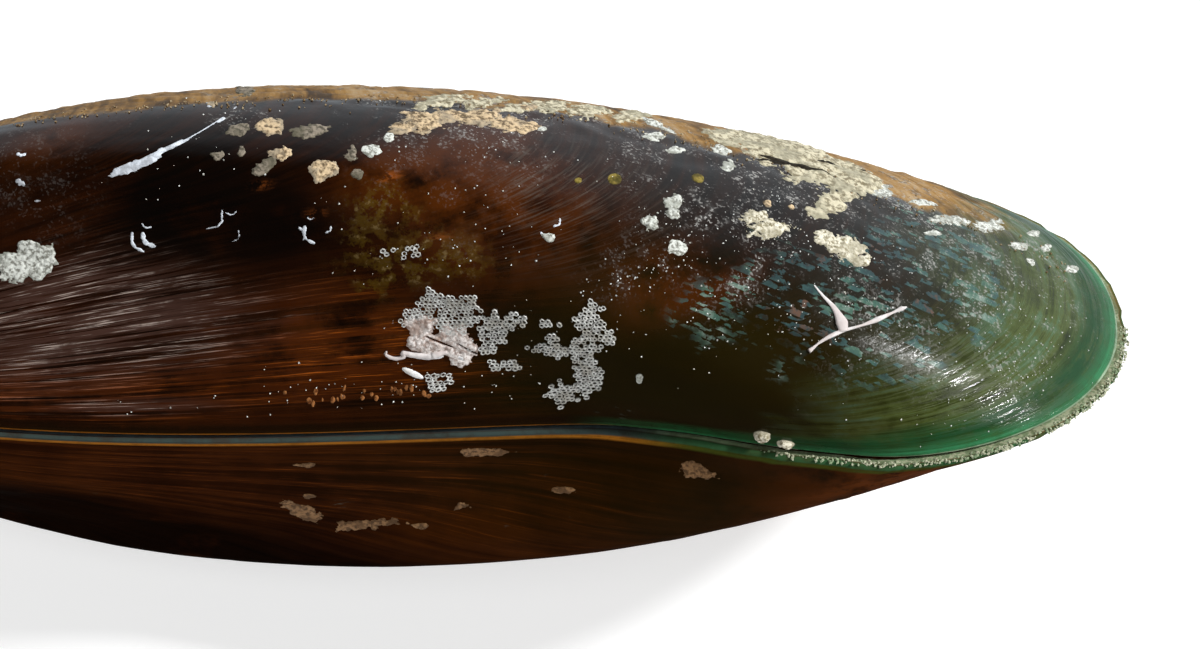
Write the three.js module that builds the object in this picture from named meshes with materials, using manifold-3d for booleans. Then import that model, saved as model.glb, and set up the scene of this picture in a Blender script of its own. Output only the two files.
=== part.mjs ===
// A large green-lipped mussel shell, closed and empty, lying on its right valve and its hinge side.
// Lengths are millimetres. The shell is built in its own frame, with the beak at the origin, x towards
// the rounded rear end, y towards the hinge side and z towards the left valve. It is then turned to the
// way it lies on a table, +Z up.
import * as THREE from 'three';
import { mergeVertices } from 'three/addons/utils/BufferGeometryUtils.js';
import Module from 'manifold-3d';

// The margin, where the two valves meet, seen square on: the points it passes through, and how far
// its curve runs on straight before and after each
const SHELL_LENGTH = 130;
const GROWN_MARGIN = {
  bellyStart: [22.9, -18.8],
  belly: [86.3, -1],
  bellySlope: 0,
  bellyReach: [10.5, 10.6],
  rearBelly: [107.6, -2.25],
  rearBellyReach: [11.9, 9.7],
  rear: [SHELL_LENGTH, 18.5],
  rearReach: [12, 24.8],
  hump: [68, 47],
  humpSlope: -0.25,
  humpReach: [28.7, 15.3],
  hingeEnd: [8, 8],
};

// A young shell's margin has no dent in its belly, and the dent comes in as the shell grows
const YOUNG_MARGIN = {
  ...GROWN_MARGIN,
  belly: [70, -5.9],
  bellySlope: 0.05,
  bellyReach: [18, 18],
  rearBelly: [100.9, -3.4],
  rearBellyReach: [15, 14],
};
const DENT_POWER = 2.5;

// How a valve coils as it grows
const COIL_AXIS_ANGLE = THREE.MathUtils.degToRad(56.8);
const COIL_TURN = 1.58;
const COIL_POWER = 0.502;

// The gap between the valves, the hollow inside each as shares of its outside, and the right valve's
// lip, which stands a little proud of the left valve's
const MARGIN_GAP = 0.3;
const HOLLOW_START = [5, 1.5];
const HOLLOW_SHARE = [0.94, 0.925, 0.91];
const LIP_PROUD = 0.35;
const LIP_PROUD_REAR = 1;
const LIP_WIDTH_AGE = 0.05;
const LIP_STARTS_BY = 0.2;
const LIP_WIDENS = [0.6, 0.85];

// Facets of a valve, round its margin and from beak to margin, and the small step in round or age that
// gives directions on it
const FACETS_ROUND = 56;
const OUTER_ROWS = 17;
const INNER_ROWS = 8;
const ROW_POWER = 1.25;
const SMALL_STEP = 0.001;

// How the shell lies: leant about its length, then pitched about its width, on a small worn flat
const LEAN = THREE.MathUtils.degToRad(-34.5);
const PITCH = THREE.MathUtils.degToRad(-2.6);
const WORN_DEPTH = 0.15;

// The hinge ligament, a leathery bead along the hinge side, as shares of the way round the margin
const LIGAMENT_SPAN = [0.79, 0.945];
const LIGAMENT_WIDTH = 2.2;
const LIGAMENT_HEIGHT = 1.3;
const LIGAMENT_SIDES = 10;
const LIGAMENT_STEPS = 24;

// What other sea creatures left on the shell. round and age place the middle of a crust, along and
// across are its sizes on the growth lines and square to them, and turn swings it from those lines.
// A crust's rings of points are shares of its size, and its shoulder a share of its thickness.
const CRUST_CLEARANCE = 0.15;
const CRUST_RIM = 18;
const CRUST_RINGS = [0.45, 0.85, 1];
const CRUST_SHOULDER = 0.8;
const CRUST_WAVES = { mean: 0.9, three: 0.07, five: 0.05 };
const CRUSTS = {
  lace_colony_front: { side: 1, round: 0.304, age: 0.836, along: 7, across: 9.5, thick: 0.5 },
  lace_colony_rear: { side: 1, round: 0.328, age: 0.862, along: 6, across: 9.5, thick: 0.5 },
  crest_crust_front: { side: 1, round: 0.483, age: 0.578, along: 4.5, across: 13, turn: -30, thick: 0.6 },
  crest_crust_rear: { side: 1, round: 0.491, age: 0.785, along: 5.5, across: 18, turn: 13, thick: 0.7 },
  upper_patch: { side: 1, round: 0.455, age: 0.767, along: 4.6, across: 3, thick: 0.4 },
  pink_patch: { side: 1, round: 0.453, age: 0.815, along: 4, across: 6, turn: -17, thick: 0.5 },
  small_patch: { side: 1, round: 0.441, age: 0.723, along: 3.6, across: 2.6, thick: 0.4 },
  beak_side_patch: { side: 1, round: 0.23, age: 0.558, along: 4.6, across: 3.4, thick: 0.4 },
  barnacle_base: { side: 1, round: 0.403, age: 0.539, along: 1.8, across: 1.8, thick: 0.45 },
  lip_barnacle: { side: 1, round: 0.341, age: 0.975, along: 1.8, across: 1.3, thick: 0.5 },
  right_crust_front: { side: -1, round: 0.277, age: 0.739, along: 5, across: 2.4, thick: 0.35 },
  right_crust_rear: { side: -1, round: 0.309, age: 0.731, along: 6.5, across: 2, thick: 0.35 },
};
const TUBE_SIDES = 8;
const TUBES = {
  curled_worm_tube: {
    side: 1, radius: 0.3, steps: 24,
    arms: [[[0.272, 0.832], [0.275, 0.843], [0.273, 0.858], [0.276, 0.864], [0.279, 0.86]]],
  },
  forked_worm_tube: {
    side: 1, radius: 0.3, steps: 12,
    arms: [
      [[0.4, 0.876], [0.41, 0.871], [0.417, 0.868], [0.425, 0.874], [0.434, 0.88]],
      [[0.42, 0.854], [0.418, 0.862], [0.416, 0.874], [0.414, 0.884]],
    ],
  },
};

const FINISHES = {
  shell: { color: '#2a1a12', roughness: 0.3 },
  ligament: { color: '#3a2416', roughness: 0.7 },
  crust: { color: '#cfc6b2', roughness: 0.9 },
  lace: { color: '#e4e0d8', roughness: 0.9 },
  tube: { color: '#e4e0d8', roughness: 0.8 },
};

const AXIS = new THREE.Vector2(Math.cos(COIL_AXIS_ANGLE), Math.sin(COIL_AXIS_ANGLE));
const ACROSS = new THREE.Vector2(AXIS.y, -AXIS.x);

const wasm = await Module();
wasm.setup();

function marginCurve(m) {
  const margin = new THREE.Path();
  margin.moveTo(0, 0);
  margin.bezierCurveTo(
    ...m.bellyStart,
    m.belly[0] - m.bellyReach[0], m.belly[1] - m.bellySlope * m.bellyReach[0],
    ...m.belly);
  margin.bezierCurveTo(
    m.belly[0] + m.bellyReach[1], m.belly[1] + m.bellySlope * m.bellyReach[1],
    m.rearBelly[0] - m.rearBellyReach[0], m.rearBelly[1],
    ...m.rearBelly);
  margin.bezierCurveTo(
    m.rearBelly[0] + m.rearBellyReach[1], m.rearBelly[1],
    m.rear[0], m.rear[1] - m.rearReach[0],
    ...m.rear);
  margin.bezierCurveTo(
    m.rear[0], m.rear[1] + m.rearReach[1],
    m.hump[0] + m.humpReach[0], m.hump[1] + m.humpSlope * m.humpReach[0],
    ...m.hump);
  margin.bezierCurveTo(
    m.hump[0] - m.humpReach[1], m.hump[1] - m.humpSlope * m.humpReach[1],
    ...m.hingeEnd,
    0, 0);
  return margin;
}

const grownMargin = marginCurve(GROWN_MARGIN);
const youngMargin = marginCurve(YOUNG_MARGIN);

// A point on a valve's outside. The margin point is scaled down by age and swung up out of the margin
// plane about the coil axis, so that every growth line is a smaller, steeper copy of the margin.
// side is 1 for the left valve and -1 for the right; round runs from the beak along the belly, the rear
// end and the hinge side back to the beak; age runs from 0 at the beak to 1 at the margin.
function growthPoint(side, round, age) {
  const edge = youngMargin.getPointAt(round).lerp(grownMargin.getPointAt(round), age ** DENT_POWER);
  const along = edge.dot(AXIS);
  const away = edge.dot(ACROSS);
  const swing = COIL_TURN * (1 - age ** COIL_POWER);
  const flat = away * Math.cos(swing);
  return new THREE.Vector3(
    age * (along * AXIS.x + flat * ACROSS.x),
    age * (along * AXIS.y + flat * ACROSS.y),
    side * (age * away * Math.sin(swing) + MARGIN_GAP / 2));
}

// The outside with the right valve's lip pushed out in the margin plane
function outerPoint(side, round, age) {
  const point = growthPoint(side, round, age);
  if (side > 0) return point;
  const forward = grownMargin.getTangentAt(round);
  const fromBeak = THREE.MathUtils.smoothstep(point.x / SHELL_LENGTH, 0, LIP_STARTS_BY);
  const toRear = THREE.MathUtils.smoothstep(point.x / SHELL_LENGTH, ...LIP_WIDENS);
  const proud = fromBeak * THREE.MathUtils.lerp(LIP_PROUD, LIP_PROUD_REAR, toRear);
  const push = proud * THREE.MathUtils.smoothstep(age, 1 - LIP_WIDTH_AGE, 1);
  point.x += forward.y * push;
  point.y -= forward.x * push;
  return point;
}

// The inside, a smaller copy of the outside that opens at the same plane
function hollowPoint(side, round, age) {
  const point = growthPoint(side, round, age);
  const opening = side * MARGIN_GAP / 2;
  return new THREE.Vector3(
    HOLLOW_START[0] + HOLLOW_SHARE[0] * point.x,
    HOLLOW_START[1] + HOLLOW_SHARE[1] * point.y,
    opening + HOLLOW_SHARE[2] * (point.z - opening));
}

function indexedGeometry(points, faces) {
  const geometry = new THREE.BufferGeometry();
  const position = new THREE.Float32BufferAttribute(points.flatMap((point) => point.toArray()), 3);
  geometry.setAttribute('position', position);
  geometry.setIndex(faces.flat());
  return geometry;
}

function ageRows(rows) {
  const ages = Array.from({ length: rows }, (_, row) => ((row + 1) / rows) ** ROW_POWER);
  ages.splice(rows - 1, 0, 1 - LIP_WIDTH_AGE / 2);
  return ages;
}

// Adds one skin of a valve: the beak, then a row of points for each age, from beak to beak. Returns the
// closed loop of points at the margin.
function addSkin(pointAt, side, ages, points, faces, inward) {
  const beak = points.length;
  const columns = FACETS_ROUND - 1;
  points.push(pointAt(side, 0, 0));
  for (const age of ages) {
    for (let i = 1; i <= columns; i += 1) points.push(pointAt(side, i / FACETS_ROUND, age));
  }
  const at = (row, i) => (row < 0 || i < 1 || i > columns ? beak : beak + row * columns + i);
  for (let row = 0; row < ages.length; row += 1) {
    for (let i = 0; i < FACETS_ROUND; i += 1) {
      const [a, b, c, d] = [at(row - 1, i), at(row, i), at(row, i + 1), at(row - 1, i + 1)];
      for (const face of [[a, b, c], [a, c, d]]) {
        if (new Set(face).size === 3) faces.push(inward ? face.toReversed() : face);
      }
    }
  }
  return Array.from({ length: FACETS_ROUND }, (_, i) => at(ages.length - 1, i));
}

function valveGeometry(side) {
  const points = [];
  const faces = [];
  const outer = addSkin(outerPoint, side, ageRows(OUTER_ROWS), points, faces, false);
  const inner = addSkin(hollowPoint, side, ageRows(INNER_ROWS), points, faces, true);
  outer.forEach((corner, i) => {
    const next = (i + 1) % FACETS_ROUND;
    faces.push([corner, inner[i], inner[next]], [corner, inner[next], outer[next]]);
  });
  return indexedGeometry(points, side > 0 ? faces : faces.map((face) => face.toReversed()));
}

// A point lifted off a valve's outside, square to it
function liftedPoint(side, round, age, lift) {
  const point = growthPoint(side, round, age);
  const alongLine = growthPoint(side, round + SMALL_STEP, age).sub(point);
  const outward = growthPoint(side, round, age + SMALL_STEP).sub(point).cross(alongLine);
  return point.addScaledVector(outward.normalize(), side * lift);
}

// A low crust with a lobed edge: rings of points over the valve, a top skin and a bottom skin that
// meet at the edge
function crustGeometry({ side, round, age, along, across, turn = 0, thick }) {
  const middle = growthPoint(side, round, age);
  const lineStep = growthPoint(side, round + SMALL_STEP, age).sub(middle);
  const ageStep = growthPoint(side, round, age + SMALL_STEP).sub(middle);
  const lineLength = lineStep.length();
  const ageAlong = ageStep.dot(lineStep) / lineLength;
  const ageAcross = Math.sqrt(ageStep.lengthSq() - ageAlong ** 2);
  const swing = THREE.MathUtils.degToRad(turn);
  const placed = (ring, corner, lift) => {
    const angle = (corner / CRUST_RIM) * 2 * Math.PI;
    const lobes = CRUST_WAVES.mean + CRUST_WAVES.three * Math.sin(3 * angle + along)
      + CRUST_WAVES.five * Math.sin(5 * angle + across);
    const flat = new THREE.Vector2(
      0.5 * along * ring * lobes * Math.cos(angle),
      0.5 * across * ring * lobes * Math.sin(angle)).rotateAround(new THREE.Vector2(), swing);
    const ageSteps = flat.y / ageAcross;
    const lineSteps = (flat.x - ageSteps * ageAlong) / lineLength;
    return liftedPoint(side, round + lineSteps * SMALL_STEP, age + ageSteps * SMALL_STEP, lift);
  };
  const points = [];
  const faces = [];
  const skinLoops = [1, 0].map((top) => {
    const loops = [points.push(placed(0, 0, CRUST_CLEARANCE + top * thick)) - 1];
    CRUST_RINGS.slice(0, -1).forEach((ring, k) => {
      loops.push(points.length);
      const height = CRUST_CLEARANCE + top * thick * (k === 0 ? 1 : CRUST_SHOULDER);
      for (let i = 0; i < CRUST_RIM; i += 1) points.push(placed(ring, i, height));
    });
    return loops;
  });
  const edge = points.length;
  for (let i = 0; i < CRUST_RIM; i += 1) points.push(placed(1, i, CRUST_CLEARANCE));
  skinLoops.forEach(([hub, ...loops], bottom) => {
    const circles = [...loops, edge];
    for (let i = 0; i < CRUST_RIM; i += 1) {
      const next = (i + 1) % CRUST_RIM;
      const skinFaces = [[hub, circles[0] + i, circles[0] + next]];
      for (let k = 1; k < circles.length; k += 1) {
        const [low, high] = [circles[k - 1], circles[k]];
        skinFaces.push([low + i, high + i, high + next], [low + i, high + next, low + next]);
      }
      const outwards = (side > 0) === (bottom === 1);
      faces.push(...(outwards ? skinFaces : skinFaces.map((face) => face.toReversed())));
    }
  });
  return indexedGeometry(points, faces);
}

function solidFrom(geometry) {
  geometry.deleteAttribute('normal');
  geometry.deleteAttribute('uv');
  const merged = mergeVertices(geometry);
  return new wasm.Manifold(new wasm.Mesh({
    numProp: 3,
    vertProperties: merged.attributes.position.array,
    triVerts: new Uint32Array(merged.index.array),
  }));
}

function geometryFrom(solid) {
  const { vertProperties, triVerts } = solid.getMesh();
  const geometry = new THREE.BufferGeometry();
  geometry.setAttribute('position', new THREE.BufferAttribute(vertProperties, 3));
  geometry.setIndex(new THREE.BufferAttribute(triVerts, 1));
  return geometry;
}

function barAlong(path, width, height, sides, steps) {
  const section = new THREE.Shape();
  section.absellipse(0, 0, width / 2, height / 2, 0, 2 * Math.PI);
  return new THREE.ExtrudeGeometry(
    new THREE.Shape(section.getSpacedPoints(sides).slice(0, sides)),
    { steps, extrudePath: path, bevelEnabled: false });
}

// A worm's tube, one arm or several that run into each other, lying along the valve
function tubeGeometry({ side, radius, steps, arms }) {
  const lift = radius + CRUST_CLEARANCE;
  const solids = arms.map((arm) => {
    const path = new THREE.CatmullRomCurve3(arm.map(([round, age]) => liftedPoint(side, round, age, lift)));
    return solidFrom(barAlong(path, 2 * radius, 2 * radius, TUBE_SIDES, steps));
  });
  return geometryFrom(solids.reduce((joined, solid) => joined.add(solid)));
}

function ligamentGeometry() {
  const offset = MARGIN_GAP + LIGAMENT_HEIGHT / 2;
  const knots = LIGAMENT_STEPS / 2;
  const points = Array.from({ length: knots + 1 }, (_, i) => {
    const round = THREE.MathUtils.lerp(...LIGAMENT_SPAN, i / knots);
    const edge = grownMargin.getPointAt(round);
    const forward = grownMargin.getTangentAt(round);
    return new THREE.Vector3(edge.x + forward.y * offset, edge.y - forward.x * offset, 0);
  });
  const path = new THREE.CatmullRomCurve3(points);
  return geometryFrom(solidFrom(
    barAlong(path, LIGAMENT_WIDTH, LIGAMENT_HEIGHT, LIGAMENT_SIDES, LIGAMENT_STEPS)));
}

// The right valve with the flat it rests on, worn square to the table's up direction
function wornRightValve(up) {
  const geometry = valveGeometry(-1);
  const position = geometry.attributes.position;
  const point = new THREE.Vector3();
  let lowest = Infinity;
  for (let i = 0; i < position.count; i += 1) {
    lowest = Math.min(lowest, point.fromBufferAttribute(position, i).dot(up));
  }
  return geometryFrom(solidFrom(geometry).trimByPlane(up.toArray(), lowest + WORN_DEPTH));
}

function piece(name, geometry, finish) {
  const material = new THREE.MeshStandardMaterial({ ...finish, metalness: 0 });
  const mesh = new THREE.Mesh(geometry, material);
  mesh.name = name;
  return mesh;
}

const shell = new THREE.Group();
shell.rotation.set(LEAN, PITCH, 0, 'YXZ');
const tableUp = new THREE.Vector3(0, 0, 1).applyQuaternion(shell.quaternion.clone().invert());
shell.add(
  piece('left_valve', valveGeometry(1), FINISHES.shell),
  piece('right_valve', wornRightValve(tableUp), FINISHES.shell),
  piece('hinge_ligament', ligamentGeometry(), FINISHES.ligament));
for (const [name, crust] of Object.entries(CRUSTS)) {
  const finish = name.startsWith('lace') ? FINISHES.lace : FINISHES.crust;
  shell.add(piece(name, crustGeometry(crust), finish));
}
for (const [name, tube] of Object.entries(TUBES)) {
  shell.add(piece(name, tubeGeometry(tube), FINISHES.tube));
}

// The origin is under the middle of the shell, on the table
const part = new THREE.Group();
part.add(shell);
const box = new THREE.Box3().setFromObject(part, true);
const middle = box.getCenter(new THREE.Vector3());
shell.position.set(-middle.x, -middle.y, -box.min.z);

export default part;
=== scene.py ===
# A large green-lipped mussel shell, closed and empty, lying on its right valve and its hinge side.
import bmesh
import bpy
import numpy as np
from mathutils import Matrix, Vector


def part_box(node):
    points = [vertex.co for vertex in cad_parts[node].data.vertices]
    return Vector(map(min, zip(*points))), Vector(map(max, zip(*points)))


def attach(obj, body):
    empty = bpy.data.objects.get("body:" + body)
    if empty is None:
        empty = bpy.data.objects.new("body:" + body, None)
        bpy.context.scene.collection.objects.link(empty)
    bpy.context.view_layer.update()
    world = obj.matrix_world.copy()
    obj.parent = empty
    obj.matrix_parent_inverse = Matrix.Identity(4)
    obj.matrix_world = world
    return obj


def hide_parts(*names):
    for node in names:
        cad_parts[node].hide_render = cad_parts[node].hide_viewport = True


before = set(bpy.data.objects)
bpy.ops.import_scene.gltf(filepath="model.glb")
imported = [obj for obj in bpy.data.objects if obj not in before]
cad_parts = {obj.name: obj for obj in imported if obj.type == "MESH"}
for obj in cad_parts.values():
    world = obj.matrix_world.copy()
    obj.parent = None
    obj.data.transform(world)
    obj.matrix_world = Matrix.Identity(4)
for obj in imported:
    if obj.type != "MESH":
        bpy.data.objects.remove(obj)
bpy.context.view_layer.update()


# The two valves: the hard outer wall of the mussel, brown and glossy over a green layer that shows at
# the rear and the lip. Each grew outwards from the beak at its margin, so one coiled surface in way (the
# share of the way round a growth line) and age (0 at the beak, 1 at the margin) is its whole outside.
MM = 0.001
LENGTH = 130 * MM
MARGIN_GAP = 0.3 * MM
GROWN_MARGIN = {
    "belly_start": (22.9, -18.8), "belly": (86.3, -1), "belly_slope": 0, "belly_reach": (10.5, 10.6),
    "rear_belly": (107.6, -2.25), "rear_belly_reach": (11.9, 9.7),
    "rear": (130, 18.5), "rear_reach": (12, 24.8),
    "hump": (68, 47), "hump_slope": -0.25, "hump_reach": (28.7, 15.3), "hinge_end": (8, 8),
}
YOUNG_MARGIN = {
    **GROWN_MARGIN,
    "belly": (70, -5.9), "belly_slope": 0.05, "belly_reach": (18, 18),
    "rear_belly": (100.9, -3.4), "rear_belly_reach": (15, 14),
}
DENT_POWER = 2.5
COIL_ANGLE = np.radians(56.8)
COIL_TURN, COIL_POWER = 1.58, 0.502
AXIS = np.array([np.cos(COIL_ANGLE), np.sin(COIL_ANGLE)])
ACROSS = np.array([AXIS[1], -AXIS[0]])
HOLLOW_START = np.array([5, 1.5, 0]) * MM
HOLLOW_SHARE = np.array([0.94, 0.925, 0.91])
LIP_PROUD, LIP_PROUD_REAR, LIP_WIDTH_AGE = 0.35 * MM, 0.8 * MM, 0.05
LIP_SHARE = 0.006
LIP_ROUND = {1: 0.5 * MM, -1: 0.6 * MM}
COLUMNS, YOUNG_ROWS, OLD_ROWS, LIP_ROWS, INSIDE_ROWS = 324, 212, 62, 8, 16
OLD_AGE = 0.9
SMALL_STEP = 0.001
CHECK_COUNT = 95
GRAIN_WAY, GRAIN_AGE, GRAIN_SIDE = 300, 100, 7.0
LEAN, PITCH = np.radians(-34.5), np.radians(-2.6)


def smooth(x, low, high):
    """A smooth rise from 0 at low to 1 at high."""
    t = np.clip((x - low) / (high - low), 0, 1)
    return t * t * (3 - 2 * t)


LATTICE = 64


def cloud(seed, x, y):
    """Smooth random heights between about -1 and 1: seeded random numbers on a lattice one unit wide,
    blended smoothly between lattice points, with two finer and weaker layers added."""
    heights = np.random.default_rng(seed).uniform(-1, 1, (LATTICE, LATTICE))
    x, y = np.broadcast_arrays(x, y)
    total = np.zeros(x.shape)
    for scale, weight in ((1, 0.62), (2.1, 0.3), (4.3, 0.16)):
        i, j = np.floor(x * scale).astype(int), np.floor(y * scale).astype(int)
        s, t = smooth(x * scale - i, 0, 1), smooth(y * scale - j, 0, 1)
        (i, after_i), (j, after_j) = ((k % LATTICE, (k + 1) % LATTICE) for k in (i, j))
        low = heights[i, j] * (1 - s) + heights[after_i, j] * s
        high = heights[i, after_j] * (1 - s) + heights[after_i, after_j] * s
        total = total + weight * (low * (1 - t) + high * t)
    return total


def margin_line(m, way):
    """The margin seen square on, at shares of the way round it: five cubic curves through the beak, the
    belly, the rear belly, the rear tip, the hump and the beak again, with shares taken by length."""
    (bx, by), (rx, ry), (tx, ty), (hx, hy) = m["belly"], m["rear_belly"], m["rear"], m["hump"]
    (b0, b1), (r0, r1), (t0, t1), (h0, h1) = (
        m["belly_reach"], m["rear_belly_reach"], m["rear_reach"], m["hump_reach"])
    sb, sh = m["belly_slope"], m["hump_slope"]
    legs = (
        ((0, 0), m["belly_start"], (bx - b0, by - sb * b0), (bx, by)),
        ((bx, by), (bx + b1, by + sb * b1), (rx - r0, ry), (rx, ry)),
        ((rx, ry), (rx + r1, ry), (tx, ty - t0), (tx, ty)),
        ((tx, ty), (tx, ty + t1), (hx + h0, hy + sh * h0), (hx, hy)),
        ((hx, hy), (hx - h1, hy - sh * h1), m["hinge_end"], (0, 0)),
    )
    t = np.linspace(0, 1, 300)[:, None]
    line = [np.zeros((1, 2))]
    for a, b, c, d in (np.array(leg, float) * MM for leg in legs):
        line.append(((1 - t) ** 3 * a + 3 * (1 - t) ** 2 * t * b + 3 * (1 - t) * t * t * c + t ** 3 * d)[1:])
    line = np.concatenate(line)
    length = np.concatenate([[0], np.cumsum(np.linalg.norm(np.diff(line, axis=0), axis=1))])
    return np.stack([np.interp(way * length[-1], length, line[:, k]) for k in (0, 1)], -1)


def growth_points(side, way, age):
    """The bare coiled surface in the shell's own frame. The margin point is scaled down by age and swung
    out of the margin plane about the coil axis; side is 1 for the left valve and -1 for the right."""
    way, age = np.broadcast_arrays(way, age)
    young, grown = margin_line(YOUNG_MARGIN, way), margin_line(GROWN_MARGIN, way)
    edge = young + (grown - young) * age[..., None] ** DENT_POWER
    along, away = edge @ AXIS, edge @ ACROSS
    swing = COIL_TURN * (1 - age ** COIL_POWER)
    flat = along[..., None] * AXIS + (away * np.cos(swing))[..., None] * ACROSS
    height = side * (age * away * np.sin(swing) + MARGIN_GAP / 2)
    return np.concatenate([flat * age[..., None], height[..., None]], -1)


def margin_outward(way):
    """The outward direction of the margin in its plane: its forward direction turned a quarter back."""
    ahead = margin_line(GROWN_MARGIN, np.clip(way + 2 * SMALL_STEP, 0, 1))
    forward = ahead - margin_line(GROWN_MARGIN, np.clip(way - 2 * SMALL_STEP, 0, 1))
    forward /= np.linalg.norm(forward, axis=-1, keepdims=True)
    return np.stack([forward[..., 1], -forward[..., 0], np.zeros(way.shape)], -1)


def outward(side, way, age):
    """Unit directions square to the coiled surface, from the cross product of its two growing directions."""
    here = growth_points(side, way, age)
    across = growth_points(side, way, age + SMALL_STEP) - here
    along = growth_points(side, np.clip(way + SMALL_STEP, 0, 1), age) - here
    square = side * np.cross(across, along)
    return square / np.maximum(np.linalg.norm(square, axis=-1, keepdims=True), 1e-15)


def growth_relief(side, way, age):
    """The height of growth ridges and dents: seeded growth checks, each a slow rise and a sharp drop
    across the growth lines, wavering a little, stronger to the rear, with wide shallow dents."""
    way, age = np.broadcast_arrays(way, age)
    dice = np.random.default_rng(40 + side)
    checks = np.sort(1 - 0.86 * dice.uniform(0, 1, CHECK_COUNT) ** 1.4)
    heights = dice.uniform(0.15, 1, CHECK_COUNT) ** 2
    fine = np.linspace(0, 1.02, 2400)
    past = fine[:, None] - checks
    steps = np.where(past > 0, np.exp(-past / 0.006), np.exp(past / 0.0015)) @ heights
    wander = 0.003 * cloud(11 + side, way * 14, age * 3)
    ridges = np.interp(age + wander, fine, steps) * (0.65 + 0.5 * cloud(17 + side, way * 22, age * 26))
    reach = np.linalg.norm(growth_points(side, way, age)[..., :2], axis=-1) / LENGTH
    strength = (0.018 + 0.05 * smooth(reach, 0.55, 0.95)) * smooth(age, 0.04, 0.2)
    dents = 0.10 * cloud(23 + side, way * 16, age * 9) + 0.035 * cloud(31 + side, way * 75, age * 30)
    grit = 0.24 * cloud(35 + side, way * 210, age * 75) * smooth(way, 0.46, 0.5) * smooth(way, 0.7, 0.6)
    return (strength * ridges + (dents + grit) * smooth(age, 0.1, 0.3) * (1 - smooth(age, 0.96, 1))) * MM


def skin_points(side, way, age, lift=0.0):
    """The finished outside, or points lifted off it: the coiled surface with its relief, which fades at
    the margin, and on the right valve the lip pushed out past the left valve's."""
    here = growth_points(side, way, age)
    way, age = np.broadcast_arrays(way, age)
    relief = growth_relief(side, way, age) * (1 - smooth(age, 0.97, 1))
    skin = here + outward(side, way, age) * (relief + lift)[..., None]
    if side < 0:
        from_beak = smooth(here[..., 0], 0, LENGTH * 0.2)
        to_rear = smooth(here[..., 0], LENGTH * 0.6, LENGTH * 0.85)
        proud = from_beak * (LIP_PROUD + (LIP_PROUD_REAR - LIP_PROUD) * to_rear)
        push = proud * smooth(age, 1 - LIP_WIDTH_AGE, 1)
        push = push * (1 + 0.3 * to_rear * cloud(37, way * 260, age * 9))
        skin = skin + margin_outward(way) * push[..., None]
    return skin


def turn_matrix():
    """The lean about the shell's length, then the pitch about its width."""
    lean = np.array([[1, 0, 0], [0, np.cos(LEAN), -np.sin(LEAN)], [0, np.sin(LEAN), np.cos(LEAN)]])
    pitch = np.array([[np.cos(PITCH), 0, np.sin(PITCH)], [0, 1, 0], [-np.sin(PITCH), 0, np.cos(PITCH)]])
    return pitch @ lean


TURN = turn_matrix()
survey_way = np.linspace(0, 1, 241)[None, :]
survey_age = np.linspace(0.02, 1, 121)[:, None]
SURVEY = {side: growth_points(side, survey_way, survey_age) for side in (1, -1)}
left_low, left_high = (np.array(corner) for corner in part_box("left_valve"))
left_turned = (SURVEY[1] @ TURN.T).reshape(-1, 3)
SHIFT = (left_low + left_high) / 2 - (left_turned.min(0) + left_turned.max(0)) / 2


def to_table(points):
    """Points from the shell's own frame to the frame it lies in on the table, never below the table."""
    turned = points @ TURN.T + SHIFT
    turned[..., 2] = np.maximum(turned[..., 2], 0)
    return turned


def grid_faces(rows, columns):
    """Four-cornered faces between the rows of a grid of points, the last column joined to the first."""
    i = np.arange(rows - 1)[:, None]
    j = np.arange(columns)[None, :]
    k = (j + 1) % columns
    quads = np.stack([i * columns + j, i * columns + k, (i + 1) * columns + k, (i + 1) * columns + j], -1)
    return quads.reshape(-1, 4)


def add_object(name, data):
    """A new object in the scene from its data."""
    made = bpy.data.objects.new(name, data)
    bpy.context.scene.collection.objects.link(made)
    return made


def make_piece(name, points, faces, values=None, merge=0.0, flat=False, ends=False):
    """A mesh object at the origin from points and faces, smooth unless flat, with its values as attributes.
    Points closer than merge are joined, open ends are filled, and faces are turned to point outwards."""
    mesh = bpy.data.meshes.new(name)
    mesh.from_pydata(points.reshape(-1, 3), [], faces)
    for label, value in (values or {}).items():
        vector = value.ndim > 1 and value.shape[-1] == 3
        layer = mesh.attributes.new(label, "FLOAT_VECTOR" if vector else "FLOAT", "POINT")
        layer.data.foreach_set("vector" if vector else "value", value.astype(np.float32).ravel())
    shaper = bmesh.new()
    shaper.from_mesh(mesh)
    if merge:
        bmesh.ops.remove_doubles(shaper, verts=shaper.verts, dist=merge)
    if ends:
        bmesh.ops.holes_fill(shaper, edges=shaper.edges)
    bmesh.ops.recalc_face_normals(shaper, faces=shaper.faces)
    shaper.to_mesh(mesh)
    shaper.free()
    if not flat:
        mesh.shade_smooth()
    return add_object(name, mesh)


def standing(side, way, age):
    """A place on the bare surface, unit directions along its growth line and square to it, and how far one
    small step of way and one of age go there."""
    middle, ahead, older = (
        growth_points(side, np.array(w), np.array(a))
        for w, a in ((way, age), (way + SMALL_STEP, age), (way, age + SMALL_STEP)))
    ahead, older = ahead - middle, older - middle
    along = ahead / np.linalg.norm(ahead)
    across = older - along * np.dot(older, along)
    return middle, along, across / np.linalg.norm(across), ahead, older


def far_from(side, points, way, age, half_along, half_across, turn=0.0):
    """How far points lie from a place in the plane of the valve there, as a share of the half sizes of an
    oval, in millimetres along and square to the growth line and turned in degrees."""
    middle, along, across = standing(side, way, age)[:3]
    swing = np.radians(turn)
    away = points - middle
    long_way = away @ (along * np.cos(swing) + across * np.sin(swing)) / (half_along * MM)
    short_way = away @ (across * np.cos(swing) - along * np.sin(swing)) / (half_across * MM)
    return np.hypot(long_way, short_way)


def spots(side, points, ovals):
    """Soft ovals on a valve, 1 in the middle and 0 outside, each with its own share, added up to 1."""
    total = 0.0
    for share, *oval in ovals:
        total = total + share * np.exp(-far_from(side, points, *oval) ** 3)
    return np.minimum(total, 1.0)


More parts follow.
